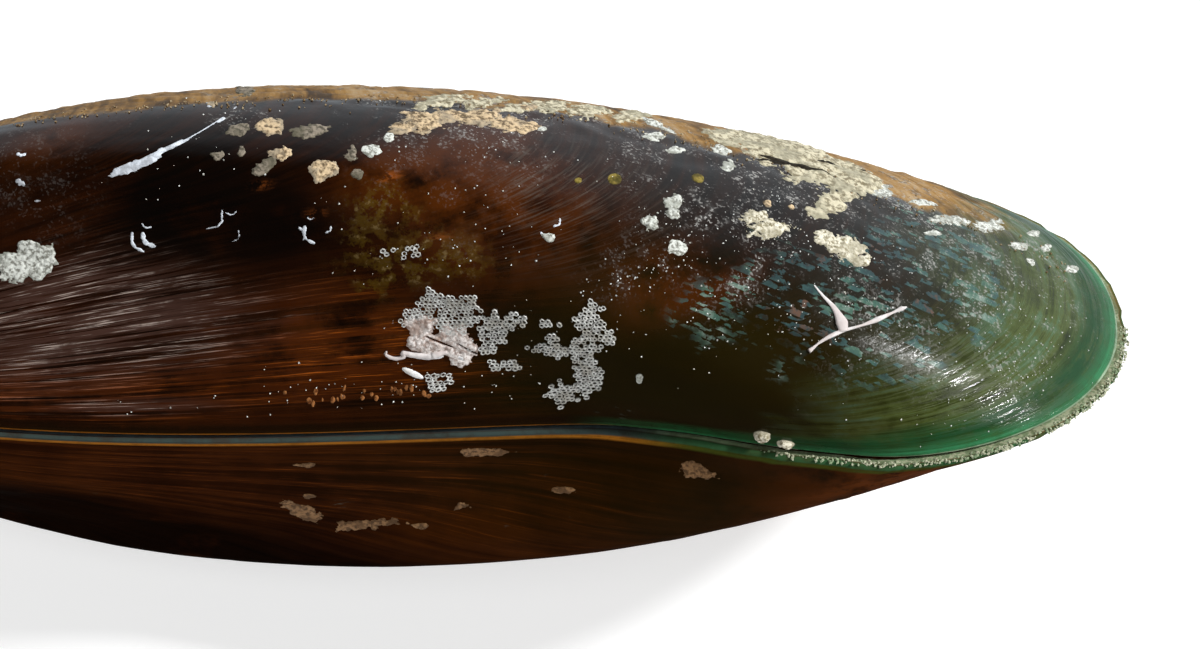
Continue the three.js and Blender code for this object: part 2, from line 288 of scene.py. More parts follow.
def valve_piece(side, name):
    """A valve as one closed grid: rows of the outside from beak to margin, a lip rounded over by a
    quadratic curve, the flat where the valves meet, and the hollow inside back to its own beak."""
    way = (np.arange(COLUMNS) / COLUMNS)[None, :]
    young = OLD_AGE * (np.arange(YOUNG_ROWS) / YOUNG_ROWS) ** 1.15
    ages = np.concatenate([young, np.linspace(OLD_AGE, 1 - LIP_SHARE, OLD_ROWS)])
    outside = skin_points(side, way, ages[:, None])
    outside[0] = growth_points(side, 0.0, 0.0)
    corner = skin_points(side, way, np.array([[1.0]]))
    flat_edge = corner - margin_outward(way) * LIP_ROUND[side] * smooth(corner[..., :1], 0, 0.1 * LENGTH)
    t = (np.arange(1, LIP_ROWS + 1) / LIP_ROWS)[:, None, None]
    lip = (1 - t) ** 2 * outside[-1] + 2 * (1 - t) * t * corner + t * t * flat_edge
    inside_ages = (np.arange(INSIDE_ROWS, -1, -1) / INSIDE_ROWS)[:, None]
    opening = np.array([0, 0, side * MARGIN_GAP / 2])
    inside = HOLLOW_START + HOLLOW_SHARE * (growth_points(side, way, inside_ages) - opening) + opening
    seen = np.concatenate([outside, lip])
    points = np.concatenate([seen, inside])
    steps = np.linalg.norm(np.diff(seen, axis=0), axis=-1)
    walked = np.concatenate([np.zeros((1, COLUMNS)), np.cumsum(steps, axis=0)])
    corner_row = len(outside) + LIP_ROWS // 2
    rim = (walked[corner_row] - walked) / MM
    far_back = smooth(seen[..., 0] / LENGTH, 0.66, 0.88)
    rim = rim * (1 + 1.2 * (1 - far_back) * (side > 0))
    rim = np.concatenate([rim, np.full((len(inside), COLUMNS), -9.0)])
    age = np.concatenate([ages, np.ones(LIP_ROWS), inside_ages[:, 0]])[:, None] + 0 * way
    round_way = way + 0 * age
    values = {
        "growth": np.stack(
            [round_way * GRAIN_WAY, age * GRAIN_AGE, np.full(age.shape, side * GRAIN_SIDE)], -1),
        "rim": rim,
        **PAINT[side](points, round_way, age),
    }
    faces = grid_faces(len(points), COLUMNS)
    return make_piece(name, to_table(points), faces, values, merge=1e-7)


LEFT_SPOTS = {
    # Dark patches: near-black, glossier ovals on the front slope and the upper rear.
    "dark_patches_and_shade": (
        (1, 0.322, 0.56, 7, 3.5), (0.9, 0.36, 0.5, 6, 3), (0.9, 0.34, 0.61, 5, 3), (0.6, 0.3, 0.62, 4, 2),
        (0.6, 0.41, 0.45, 7, 3), (0.7, 0.452, 0.76, 10, 5), (0.5, 0.335, 0.4, 5, 3),
        (0.6, 0.455, 0.5, 12, 3)),
    "red": (
        (0.8, 0.41, 0.35, 4.5, 2.5), (0.9, 0.434, 0.6, 8, 5), (0.7, 0.405, 0.57, 5, 3),
        (0.7, 0.4, 0.67, 9, 5), (0.8, 0.408, 0.77, 7, 3), (0.5, 0.405, 0.79, 6, 2),
        (0.6, 0.268, 0.81, 9, 3)),
    "amber": (
        (0.8, 0.258, 0.79, 9, 3.2), (0.7, 0.264, 0.84, 8, 2.6), (0.6, 0.12, 0.86, 8, 3),
        (0.6, 0.16, 0.885, 12, 3), (0.4, 0.235, 0.9, 14, 2)),
    # Painted sheen: worn streaks on the front flank and a strip by the seam, drawn with the light they
    # reflect.
    "lilac_sheen": (
        (1, 0.19, 0.72, 12, 4.5), (0.5, 0.226, 0.768, 8, 2.6), (0.4, 0.225, 0.64, 8, 3),
        (0.7, 0.168, 0.925, 6, 0.7)),
    "algae": (
        (1, 0.358, 0.643, 3, 2.5), (0.8, 0.377, 0.611, 3, 2.5), (0.7, 0.35, 0.673, 5, 2),
        (0.8, 0.33, 0.707, 3, 1.6), (0.7, 0.362, 0.7, 3, 1.5), (0.9, 0.308, 0.729, 1.3, 1.1)),
    "olive": ((1, 0.362, 0.9, 22, 7), (0.7, 0.35, 0.82, 12, 6)),
    # Painted sheen: faint pale streaks along the growth lines below the crest, for reflected light.
    "fan_sheen": ((1, 0.435, 0.65, 7, 6), (0.5, 0.45, 0.7, 8, 5)),
    "flakes": (
        (1, 0.465, 0.875, 9, 6), (0.6, 0.435, 0.84, 8, 5), (0.3, 0.412, 0.8, 8, 5),
        (0.3, 0.415, 0.905, 6, 3)),
    "rust": (
        (0.8, 0.409, 0.575, 0.7, 0.4), (0.3, 0.376, 0.53, 0.6, 0.4), (0.25, 0.36, 0.59, 0.7, 0.4),
        (0.4, 0.372, 0.66, 0.6, 0.3)),
}
DUST_SPOTS = (
    (1, 0.459, 0.742, 6, 3), (0.8, 0.437, 0.78, 6, 4), (0.7, 0.403, 0.748, 4, 2), (0.8, 0.436, 0.742, 6, 4),
    (0.1, 0.417, 0.623, 8, 6), (0.8, 0.469, 0.82, 6, 4), (0.15, 0.36, 0.37, 6, 6),
    (0.8, 0.447, 0.862, 8, 5), (0.7, 0.44, 0.936, 9, 5), (0.15, 0.436, 0.555, 6, 4),
)


def left_paint(points, way, age):
    """Where each tone of the left valve lies, from 0 to 1, by place in the shell and by growth."""
    x = points[..., 0] / LENGTH
    waver = cloud(3, way * 40, age * 14)
    ragged = cloud(4, way * 160, age * 60)
    worn_from = 0.459 + 0.038 * smooth(age, 0.3, 0.64)
    return {
        "rear": smooth(x, 0.57, 0.75),
        "green": smooth(x + 0.45 * (age - 1) + 0.05 * waver + 0.02 * ragged, 0.735, 0.925)
        * smooth(age + 0.02 * waver + 0.01 * ragged, 0.79, 0.95),
        "tan": smooth(way + 0.005 * waver + 0.007 * ragged, worn_from, worn_from + 0.007)
        * (1 - 0.85 * smooth(way + 0.05 * waver + 0.02 * ragged, 0.54, 0.68))
        * (1 - smooth(x + 0.03 * ragged, 0.87, 0.93)),
        "dust": np.maximum(
            0.8 * smooth(way, 0.42, 0.47) * smooth(way, 0.6, 0.55) * smooth(age, 0.35, 0.45),
            spots(1, points, DUST_SPOTS)),
        **{label: spots(1, points, ovals) for label, ovals in LEFT_SPOTS.items()},
    }


def right_paint(points, way, age):
    """Where each tone of the right valve lies, from 0 to 1."""
    x = points[..., 0] / LENGTH
    waver = cloud(5, way * 40, age * 14)
    bare = dict.fromkeys(("green", "lilac_sheen", "algae", "flakes", "fan_sheen", "dust"), np.zeros(age.shape))
    return {
        **bare,
        "rear": smooth(x, 0.62, 0.76),
        "tan": smooth(way + 0.01 * waver, 0.47, 0.52) * (1 - 0.85 * smooth(way + 0.06 * waver, 0.53, 0.66)),
        # Darker and glossier towards the middle and beak, the part that lies nearest the floor: painted
        # shade.
        "dark_patches_and_shade": 1 - smooth(age + 0.05 * waver, 0.58, 0.76),
        "red": smooth(x + 0.03 * waver, 0.7, 0.82),
        "amber": spots(-1, points, ((0.3, 0.22, 0.85, 30, 7),)),
        "rust": 0.3 * smooth(x + 0.04 * waver, 0.76, 0.9),
        "olive": spots(-1, points, ((0.6, 0.33, 0.9, 25, 8),)),
    }


PAINT = {1: left_paint, -1: right_paint}


class Wire:
    """One output of a node. Wires are added to and multiplied by numbers and other wires, and each sum and
    product is a node too."""

    def __init__(self, socket):
        self.socket = socket
        self.tree = socket.id_data

    def __add__(self, other):
        return arithmetic("ADD", self, other)

    def __mul__(self, other):
        return arithmetic("MULTIPLY", self, other)


def new_finish(name, **sockets):
    """A material with one principled shader, its constant sockets set, and the shader's tree."""
    finish = bpy.data.materials.new(name)
    finish.use_nodes = True
    shader = finish.node_tree.nodes["Principled BSDF"]
    for socket, value in sockets.items():
        shader.inputs[socket.replace("_", " ")].default_value = value
    return finish, finish.node_tree, shader


def fill(socket, value):
    """Feeds an input by a wire, or sets it to a number, a vector or an opaque colour."""
    if isinstance(value, Wire):
        value.tree.links.new(value.socket, socket)
    else:
        socket.default_value = (*value, 1.0) if isinstance(value, tuple) and socket.type == "RGBA" else value


def add_node(tree, kind, *values, **settings):
    """A node of a tree, its settings set, and its inputs filled in order."""
    made = tree.nodes.new(kind)
    for label, value in settings.items():
        setattr(made, label, value)
    for socket, value in zip([s for s in made.inputs if s.enabled], values):
        fill(socket, value)
    return made


def read_value(tree, label, output="Fac"):
    """A value that the mesh holds, by its name."""
    return Wire(add_node(tree, "ShaderNodeAttribute", attribute_name=label).outputs[output])


def read_place(tree, output="Object"):
    """The place of a point in the piece."""
    return Wire(add_node(tree, "ShaderNodeTexCoord").outputs[output])


def arithmetic(operation, wire, other):
    """One sum on a wire and a number or another wire."""
    return Wire(add_node(wire.tree, "ShaderNodeMath", wire, other, operation=operation).outputs[0])


def rise(wire, low, high):
    """A smooth rise of a value from 0 at low to 1 at high."""
    return Wire(add_node(wire.tree, "ShaderNodeMapRange", wire, low, high, 0.0, 1.0,
                         interpolation_type="SMOOTHSTEP").outputs[0])


def mottle(place, waves, detail=4.0, roughness=0.6, shift=0.0):
    """Cloudy noise from 0 to 1. waves is how many there are per unit of place, one number or three."""
    waves = waves if isinstance(waves, tuple) else (waves,) * 3
    moved = add_node(place.tree, "ShaderNodeMapping", place, (shift,) * 3, (0.0, 0.0, 0.0), waves)
    noise = add_node(place.tree, "ShaderNodeTexNoise", Wire(moved.outputs[0]))
    noise.inputs["Scale"].default_value = 1.0
    noise.inputs["Detail"].default_value = detail
    noise.inputs["Roughness"].default_value = roughness
    return Wire(noise.outputs["Fac"])


def blend(share, under, over):
    """One colour laid over another by a share."""
    made = share.tree.nodes.new("ShaderNodeMix")
    made.data_type = "RGBA"
    for index, value in ((0, share), (6, under), (7, over)):
        fill(made.inputs[index], value)
    return Wire(made.outputs[2])


def tones(wire, stops):
    """A colour by value: stops are places from 0 to 1 and their colours."""
    made = add_node(wire.tree, "ShaderNodeValToRGB", wire)
    made.color_ramp.elements.remove(made.color_ramp.elements[0])
    for index, (place, colour) in enumerate(stops):
        stop = made.color_ramp.elements[0] if index == 0 else made.color_ramp.elements.new(place)
        stop.position = place
        stop.color = (*colour, 1.0)
    return Wire(made.outputs[0])


def dress(shader, colour, roughness, height, strength, distance):
    """The wires of a shader: its colour, its roughness and a bump of a strength and a real height."""
    fill(shader.inputs["Base Color"], colour)
    fill(shader.inputs["Roughness"], roughness)
    bump = add_node(height.tree, "ShaderNodeBump", strength, distance)
    fill(bump.inputs["Height"], height)
    fill(shader.inputs["Normal"], Wire(bump.outputs[0]))


def flake_share(growth, across, along, chosen, ragged):
    """Four-sided flakes from 0 to 1: cells of a lattice on the growth coordinates, of which a seeded
    share is chosen, with rims gnawed by noise."""
    moved = add_node(growth.tree, "ShaderNodeMapping", growth, ragged * 1.3, (0.0, 0.0, 0.0),
                     (along, across, 1.0))
    cells = add_node(growth.tree, "ShaderNodeTexVoronoi", Wire(moved.outputs[0]), distance="CHEBYCHEV")
    cells.inputs["Scale"].default_value = 1.0
    cells.inputs["Randomness"].default_value = 1.0
    picked = add_node(growth.tree, "ShaderNodeSeparateColor", Wire(cells.outputs["Color"])).outputs[0]
    far = Wire(cells.outputs["Distance"]) + ragged * 1.1
    return rise(Wire(picked), chosen, chosen + 0.03) * rise(far, 0.96, 0.84)


def valve_finish(name, shine, rough, dark, rim_lines):
    """The shell's outside. Streaks are noise on the growth coordinates, drawn out along the growth lines.
    Over a near-black brown come red-brown and amber streaks, green, blue-green flakes and worn tan, with
    dark patches and painted sheen, and painted shade on the right valve towards the floor."""
    finish, tree, shader = new_finish(name, Specular_IOR_Level=shine)
    growth = read_value(tree, "growth", "Vector")
    place = read_place(tree)
    (rear, green, tan, dark_patches_and_shade, red, amber, lilac_sheen, algae, olive, fan_sheen, flakes, rust, dust, rim) = (
        read_value(tree, label) for label in (
            "rear", "green", "tan", "dark_patches_and_shade", "red", "amber", "lilac_sheen", "algae", "olive", "fan_sheen", "flakes",
            "rust", "dust", "rim"))
    long_streaks = mottle(growth, (0.02, 0.6, 1.0), 3, 0.55)
    short_streaks = mottle(growth, (0.07, 1.5, 1.0), 4, 0.6, 31.0)
    fine_streaks = mottle(growth, (0.16, 4.0, 1.0), 3, 0.6, 57.0)
    clouds = mottle(place, 55.0, 3, 0.5)
    blotches = mottle(place, 190.0, 5, 0.62)
    grains = mottle(place, 1500.0, 3, 0.6)
    specks = mottle(place, 700.0, 4, 0.7, 9.0)
    motes = mottle(place, 3600.0, 2, 0.5, 5.0)

    bands = rise(long_streaks * 0.7 + blotches * 0.3, 0.42, 0.54)
    amber_lines = amber * rise(fine_streaks, 0.48, 0.62) * rise(short_streaks, 0.46, 0.6)
    # Painted sheen: a lilac-grey tint and pale broken streaks for light reflected off worn streaks.
    sheen_tint = lilac_sheen * rise(long_streaks, 0.36, 0.52) * rise(short_streaks, 0.36, 0.5)
    sheen_streaks = lilac_sheen * rise(fine_streaks, 0.5, 0.6) * rise(short_streaks, 0.5, 0.58)
    algae = algae * rise(specks, 0.44, 0.56) * rise(blotches, 0.34, 0.56)
    colour = tones(clouds * 0.4 + long_streaks * 0.35 + blotches * 0.25, dark)
    for share, tint in (
        (rise(short_streaks, 0.4, 0.7) * 0.35, (0.042, 0.01, 0.001)),
        (rear * rise(clouds, 0.3, 0.6) * 0.6, (0.0075, 0.0062, 0.0035)),
        (flakes * rise(blotches, 0.4, 0.6) * 0.6, (0.01, 0.021, 0.023)),
        (olive * 0.85, (0.0125, 0.0085, 0.0006)),
        (red * rise(blotches, 0.34, 0.58) * 0.8, (0.068, 0.0165, 0.0016)),
        (amber * bands * 0.8, (0.06, 0.012, 0.001)),
        (amber_lines * bands, (0.3, 0.07, 0.006)),
        # Painted sheen: the lilac-grey tint and the pale streaks stand for reflected light.
        (sheen_tint * 0.85, (0.052, 0.025, 0.018)),
        (sheen_streaks * rise(blotches, 0.36, 0.52) * 0.9, (0.4, 0.325, 0.28)),
        # Painted sheen: pale streaks along the growth lines for reflected light.
        (fan_sheen * rise(fine_streaks, 0.46, 0.7) * rise(clouds, 0.35, 0.6) * 0.4, (0.1, 0.085, 0.068)),
        (algae * 0.65, (0.085, 0.048, 0.004)),
        (algae * rise(grains, 0.56, 0.68) * 0.45, (0.26, 0.18, 0.07)),
        # Darkening: dark patches on the left valve, and painted shade towards the floor on the right valve.
        (dark_patches_and_shade * rise(blotches, 0.2, 0.5) * 0.88, (0.0015, 0.0009, 0.0006)),
        (rust * rise(specks, 0.42, 0.54), (0.3, 0.075, 0.012)),
    ):
        colour = blend(share, colour, tint)

    mixed = short_streaks * 0.35 + fine_streaks * 0.15 + clouds * 0.15 + blotches * 0.2 + specks * 0.15
    green_tones = tones(mixed, (
        (0.38, (0.008, 0.011, 0.002)), (0.45, (0.03, 0.042, 0.008)), (0.505, (0.058, 0.078, 0.018)),
        (0.555, (0.054, 0.1, 0.044)), (0.62, (0.13, 0.17, 0.095))))
    flake = arithmetic("MAXIMUM", flake_share(growth, 0.6, 0.8, 0.6, specks),
                       flake_share(growth, 1.25, 1.4, 0.62, specks))
    flake = flake * rise(flakes + blotches * 0.9, 0.6, 0.9)
    flake_tones = tones(blotches * 0.6 + specks * 0.4, (
        (0.38, (0.12, 0.07, 0.05)), (0.43, (0.025, 0.05, 0.055)), (0.5, (0.042, 0.09, 0.085)),
        (0.55, (0.06, 0.13, 0.095)), (0.62, (0.18, 0.25, 0.21))))
    tan_tones = tones(short_streaks * 0.4 + blotches * 0.6, (
        (0.36, (0.05, 0.026, 0.009)), (0.44, (0.15, 0.077, 0.019)), (0.52, (0.28, 0.15, 0.037)),
        (0.64, (0.38, 0.26, 0.13))))
    tan_tones = blend(rise(specks, 0.54, 0.62) * 0.6, tan_tones, (0.07, 0.04, 0.014))
    crusty = dust * rise(blotches, 0.42, 0.62)
    for share, tint in (
        (green, green_tones), (flake * 0.85, flake_tones), (tan, tan_tones),
        (crusty * rise(specks, 0.46, 0.66) * 0.3, (0.11, 0.11, 0.105)),
        (crusty * rise(motes + specks * 0.6, 0.87, 0.98) * 0.75, (0.36, 0.35, 0.33)),
    ):
        colour = blend(share, colour, tint)

    edge = rim + short_streaks * 0.3 + blotches * 0.25 + -0.25
    for low, high, soft, brown_end, green_end in rim_lines:
        band = rise(edge, low - soft, low + soft) * rise(edge, high + soft, high - soft)
        line = blend(rise(rear, 0.2, 0.8), brown_end, green_end)
        stained = rise(blotches, 0.42, 0.62) * rise(rear, 0.3, 0.9) * 0.4
        line = blend(stained, line, (0.02, 0.04, 0.012))
        if low < -2:
            crumbs = rise(specks * 0.5 + motes * 0.5, 0.48, 0.54)
            line = blend(crumbs * red * 0.6, line, (0.42, 0.42, 0.29))
        worn = rise(fine_streaks * 0.5 + specks * 0.5, 0.38, 0.56)
        colour = blend(band * (worn * 0.45 + 0.55), colour, line)

    roughness = blotches * 0.16 + rough + green * rise(fine_streaks, 0.46, 0.5) * 0.3
    roughness = roughness + dark_patches_and_shade * -0.1 + tan * 0.5
    height = short_streaks * (amber * 0.5 + 0.3) + fine_streaks * (green * 0.6 + 0.12)
    height = height + motes * (green * 0.08 + dust * 0.3) + grains * (tan * 0.7 + 0.1)
    height = height + blotches * 0.6 + specks * 0.35 + flake * 0.12
    dress(shader, colour, arithmetic("MAXIMUM", roughness, 0.05), height, 0.35, 0.00012)
    return finish


LEFT_DARK = ((0.34, (0.0012, 0.0006, 0.0003)), (0.46, (0.0055, 0.0015, 0.0003)),
             (0.56, (0.016, 0.0035, 0.0004)), (0.7, (0.034, 0.0075, 0.0008)))
RIGHT_DARK = ((0.34, (0.006, 0.0014, 0.0001)), (0.48, (0.021, 0.0046, 0.0002)),
              (0.6, (0.044, 0.0105, 0.0004)))
LEFT_RIM = ((1.0, 4.2, 1.4, (0.008, 0.003, 0.0007), (0.008, 0.045, 0.013)),
            (0.5, 1.7, 0.6, (0.012, 0.005, 0.001), (0.017, 0.1, 0.036)),
            (0.3, 0.9, 0.15, (0.2, 0.068, 0.006), (0.024, 0.155, 0.06)),
            (-1.0, 0.3, 0.06, (0.008, 0.005, 0.002), (0.26, 0.36, 0.24)))
# Rim bands. The grey-blue front colours of the lip and its shoulder are painted sheen, a sky reflection.
RIGHT_RIM_AND_LIP_SHEEN = ((0.55, 1.5, 0.3, (0.3, 0.11, 0.01), (0.05, 0.06, 0.007)),
             (-0.2, 0.65, 0.15, (0.035, 0.05, 0.045), (0.03, 0.09, 0.035)),
             (-3.0, -0.3, 0.15, (0.045, 0.065, 0.072), (0.2, 0.27, 0.15)))

left_valve = valve_piece(1, "mussel_left_valve")
right_valve = valve_piece(-1, "mussel_right_valve")
left_valve.data.materials.append(
    valve_finish("brown_and_green_shell", 0.35, 0.07, LEFT_DARK, LEFT_RIM))
right_valve.data.materials.append(
    valve_finish("dark_brown_shell", 0.012, 0.45, RIGHT_DARK, RIGHT_RIM_AND_LIP_SHEEN))
for valve, node in ((left_valve, "left_valve"), (right_valve, "right_valve")):
    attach(valve, "root")
    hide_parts(node)


# The hinge ligament: a leathery brown bead that springs the valves open, grown along the hinge side
# between the beak and the hump. Its fibres run across it and it thins out at both ends.
LIGAMENT_SPAN = (0.79, 0.945)
LIGAMENT_WIDTH, LIGAMENT_HEIGHT = 2.2 * MM, 1.3 * MM
LIGAMENT_RINGS, LIGAMENT_SIDES = 160, 28


def ligament_piece(name):
    """An oval section carried along the hinge margin: the section thins to a point at both ends, and fine
    ribs and a wavering height are added to its radius."""
    along = np.linspace(0, 1, LIGAMENT_RINGS)[:, None]
    turn = (np.arange(LIGAMENT_SIDES) / LIGAMENT_SIDES * 2 * np.pi)[None, :]
    way = LIGAMENT_SPAN[0] + (LIGAMENT_SPAN[1] - LIGAMENT_SPAN[0]) * along
    line = np.concatenate([margin_line(GROWN_MARGIN, way), 0 * way[..., None]], -1)
    out = margin_outward(way)
    taper = np.sqrt(np.clip(np.sin(np.pi * along), 0, 1)) ** 0.7
    ribs = 1 + 0.05 * np.sin(along * 420 + 3 * cloud(61, along * 40, turn))
    ribs = ribs + 0.12 * cloud(62, along * 18, turn * 0.6)
    middle = line + out * (MARGIN_GAP + LIGAMENT_HEIGHT / 2)
    height = (LIGAMENT_HEIGHT / 2 * taper * ribs * np.cos(turn))[..., None]
    width = (LIGAMENT_WIDTH / 2 * taper * ribs * np.sin(turn))[..., None]
    points = middle + out * height + np.array([0, 0, 1]) * width
    values = {"growth": np.stack([along * 44 + 0 * turn, turn + 0 * along, 0 * turn + 0 * along], -1)}
    faces = grid_faces(LIGAMENT_RINGS, LIGAMENT_SIDES)
    return make_piece(name, to_table(points), faces, values, merge=1e-6, ends=True)


def ligament_finish():
    """Dull dark brown leather with fibres across it, worn paler on the ribs."""
    finish, tree, shader = new_finish("brown_ligament", Specular_IOR_Level=0.3)
    fibres = mottle(read_value(tree, "growth", "Vector"), (5.0, 0.8, 1.0), 4, 0.6)
    stains = mottle(read_place(tree), 300.0)
    colour = tones(fibres, (
        (0.3, (0.012, 0.006, 0.003)), (0.55, (0.045, 0.022, 0.01)), (0.75, (0.12, 0.07, 0.035))))
    colour = blend(rise(stains, 0.5, 0.7), colour, (0.02, 0.014, 0.01))
    dress(shader, colour, stains * 0.3 + 0.45, fibres, 0.6, 0.0001)
    return finish


ligament = ligament_piece("mussel_ligament")
ligament.data.materials.append(ligament_finish())
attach(ligament, "root")
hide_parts("hinge_ligament")


# The sea-mat colonies: white lace of lime made by tiny animals that each built a six-sided chamber,
# under half a millimetre long, stuck to the left valve. Old chambers in the front colony are filled solid.
CHAMBER = 0.42 * MM
CHAMBER_WALL = 0.08 * MM
CHAMBER_HEIGHT = 0.12 * MM
FRONT_LOBES = (
    (0.011, -0.059, 2.2, 1.3, 0), (0.0, -0.027, 1.6, 1.3, 0), (0.014, -0.075, 0.9, 0.8, 0),
    (0.006, -0.009, 2.1, 1.4, -82), (0.022, -0.031, 1.3, 0.6, -27), (-0.011, 0.051, 1.3, 0.6, 0),
    (-0.04, 0.077, 1.0, 0.8, 6), (-0.005, -0.049, 1.0, 0.6, -21), (0.032, -0.025, 0.7, 0.4, -10),
)
FRONT_HOLES = ((-0.004, 0.004, 1.9, 0.33, -86),)
FILLED_LOBES = (
    (-0.011, -0.027, 1.5, 1.2, 0), (-0.02, 0.011, 1.7, 1.2, 5), (-0.011, 0.001, 1.8, 1.4, -82),
    (-0.023, 0.003, 1.0, 0.9, 8), (-0.02, 0.037, 0.9, 0.7, 7), (-0.015, 0.017, 1.7, 1.3, 3),
)
FILLED_CRACKS = ((-0.016, 0.004, 1.3, 0.1, 28), (-0.012, 0.02, 1.1, 0.09, 35))
BAND_LOBES = ((-0.028, 0.028, 1.4, 0.35, 5), (-0.042, 0.057, 1.1, 0.3, 31), (-0.02, 0.034, 0.9, 0.3, 20))
REAR_LOBES = (
    (0.025, -0.053, 1.3, 1.2, -13), (0.017, -0.029, 1.2, 0.9, 0), (-0.008, 0.001, 1.9, 0.7, 10),
    (-0.001, 0.003, 1.1, 1.0, -78), (-0.014, 0.043, 1.9, 1.2, -84), (-0.036, 0.083, 1.1, 1.0, 0),
    (0.0, -0.025, 0.6, 0.35, -44), (0.01, -0.015, 0.9, 0.8, 0),
)
REAR_HOLES = ((-0.023, 0.04, 1.0, 0.6, -7), (0.022, -0.036, 0.35, 0.2, 0))
STRAY_LOBES = ((0.0, 0.0, 1.9, 0.4, 8), (0.004, -0.004, 0.7, 0.6, 0))
STRAY_PLACE = (0.35, 0.673)
RING_ROWS, CORNERS = 4, 6


def node_place(node, side):
    """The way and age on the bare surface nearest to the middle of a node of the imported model."""
    low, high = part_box(node)
    middle = ((np.array(low) + np.array(high)) / 2 - SHIFT) @ TURN
    gap = np.linalg.norm(SURVEY[side] - middle, axis=-1)
    row, column = np.unravel_index(np.argmin(gap), gap.shape)
    ways = np.linspace(-0.006, 0.006, 41)[None, :] + survey_way[0, column]
    ages = np.linspace(-0.012, 0.012, 41)[:, None] + survey_age[row, 0]
    gap = np.linalg.norm(growth_points(side, ways, ages) - middle, axis=-1)
    row, column = np.unravel_index(np.argmin(gap), gap.shape)
    return ways[0, column], ages[row, 0]


def laid_out(side, place, along, across):
    """The way and age of points at lengths along and square to the growth line through a place, by the
    size of one small step of way and of age there."""
    one, two, ahead, older = standing(side, *place)[1:]
    age_steps = across / np.dot(older, two)
    way_steps = (along - age_steps * np.dot(older, one)) / np.linalg.norm(ahead)
    return place[0] + way_steps * SMALL_STEP, np.clip(place[1] + age_steps * SMALL_STEP, 0.01, 0.999)


def depth_in(side, points, place, ovals):
    """How deep points lie inside the nearest of a set of ovals set off from a place: 1 in a middle, 0 on a
    rim and below 0 outside."""
    depth = np.full(points.shape[:-1], -9.0)
    for way, age, *sizes in ovals:
        depth = np.maximum(depth, 1 - far_from(side, points, place[0] + way, place[1] + age, *sizes))
    return depth


def lace_piece(name, side, place, lobes, holes, seed, whole=0.91):
    """Six-sided rings on a close-packed grid wherever it lies inside the lobes and outside the holes. A
    ring's section is a low roof: outer foot, crown, inner foot and underside, carried round six corners."""
    dice = np.random.default_rng(seed)
    steps = np.arange(-30, 31)
    i, j = (axis.ravel() for axis in np.meshgrid(steps, steps))
    along = (i + 0.5 * (j % 2)) * CHAMBER * 0.98
    across = j * CHAMBER * 0.84
    bare = growth_points(side, *laid_out(side, place, along, across))
    ragged = 0.75 * cloud(seed, along / (0.7 * MM), across / (0.7 * MM))
    kept = (depth_in(side, bare, place, lobes) + ragged > -0.12) & (depth_in(side, bare, place, holes) < 0)
    kept &= dice.uniform(0, 1, along.shape) < whole
    along, across = along[kept], across[kept]
    along = along + dice.normal(0, 0.04, along.shape) * MM
    across = across + dice.normal(0, 0.04, along.shape) * MM
    corner = (np.arange(CORNERS) / CORNERS * 2 * np.pi + np.pi / CORNERS)[None, None, :]
    half = CHAMBER / np.sqrt(3)
    size = dice.uniform(0.86, 1.08, along.shape)[:, None, None]
    inner = half - CHAMBER_WALL * dice.uniform(0.9, 1.7, along.shape)
    outer = 0 * inner + half
    radius = np.stack([outer * 1.02, outer * 0.93, inner, inner * 0.92], -1)[..., None] * size
    tall = dice.uniform(0.75, 1.3, along.shape)
    lift = np.stack([0 * tall - 0.06 * MM, tall * CHAMBER_HEIGHT, tall * CHAMBER_HEIGHT * 0.85,
                     0 * tall - 0.06 * MM], -1)
    ring_along = along[:, None, None] + radius * np.cos(corner) * 1.06
    ring_across = across[:, None, None] + radius * np.sin(corner) * 0.97
    way, age = laid_out(side, place, ring_along, ring_across)
    lifted = np.broadcast_to(lift[..., None], way.shape)
    points = to_table(skin_points(side, way, age, lifted))
    here, after = np.arange(CORNERS), (np.arange(CORNERS) + 1) % CORNERS
    last = (RING_ROWS - 1) * CORNERS
    close = np.stack([last + here, last + after, after, here], -1)
    one = np.concatenate([grid_faces(RING_ROWS, CORNERS), close])
    faces = (np.arange(len(along))[:, None, None] * RING_ROWS * CORNERS + one).reshape(-1, 4)
    return make_piece(name, points, faces, {"core": np.ones(points.shape[:-1])}, flat=True)


SHEET_STEP, SHEET_SINK = 0.085, -0.12
LARGE_SHEET, LARGE_SHEET_COARSER = 25, 1.6


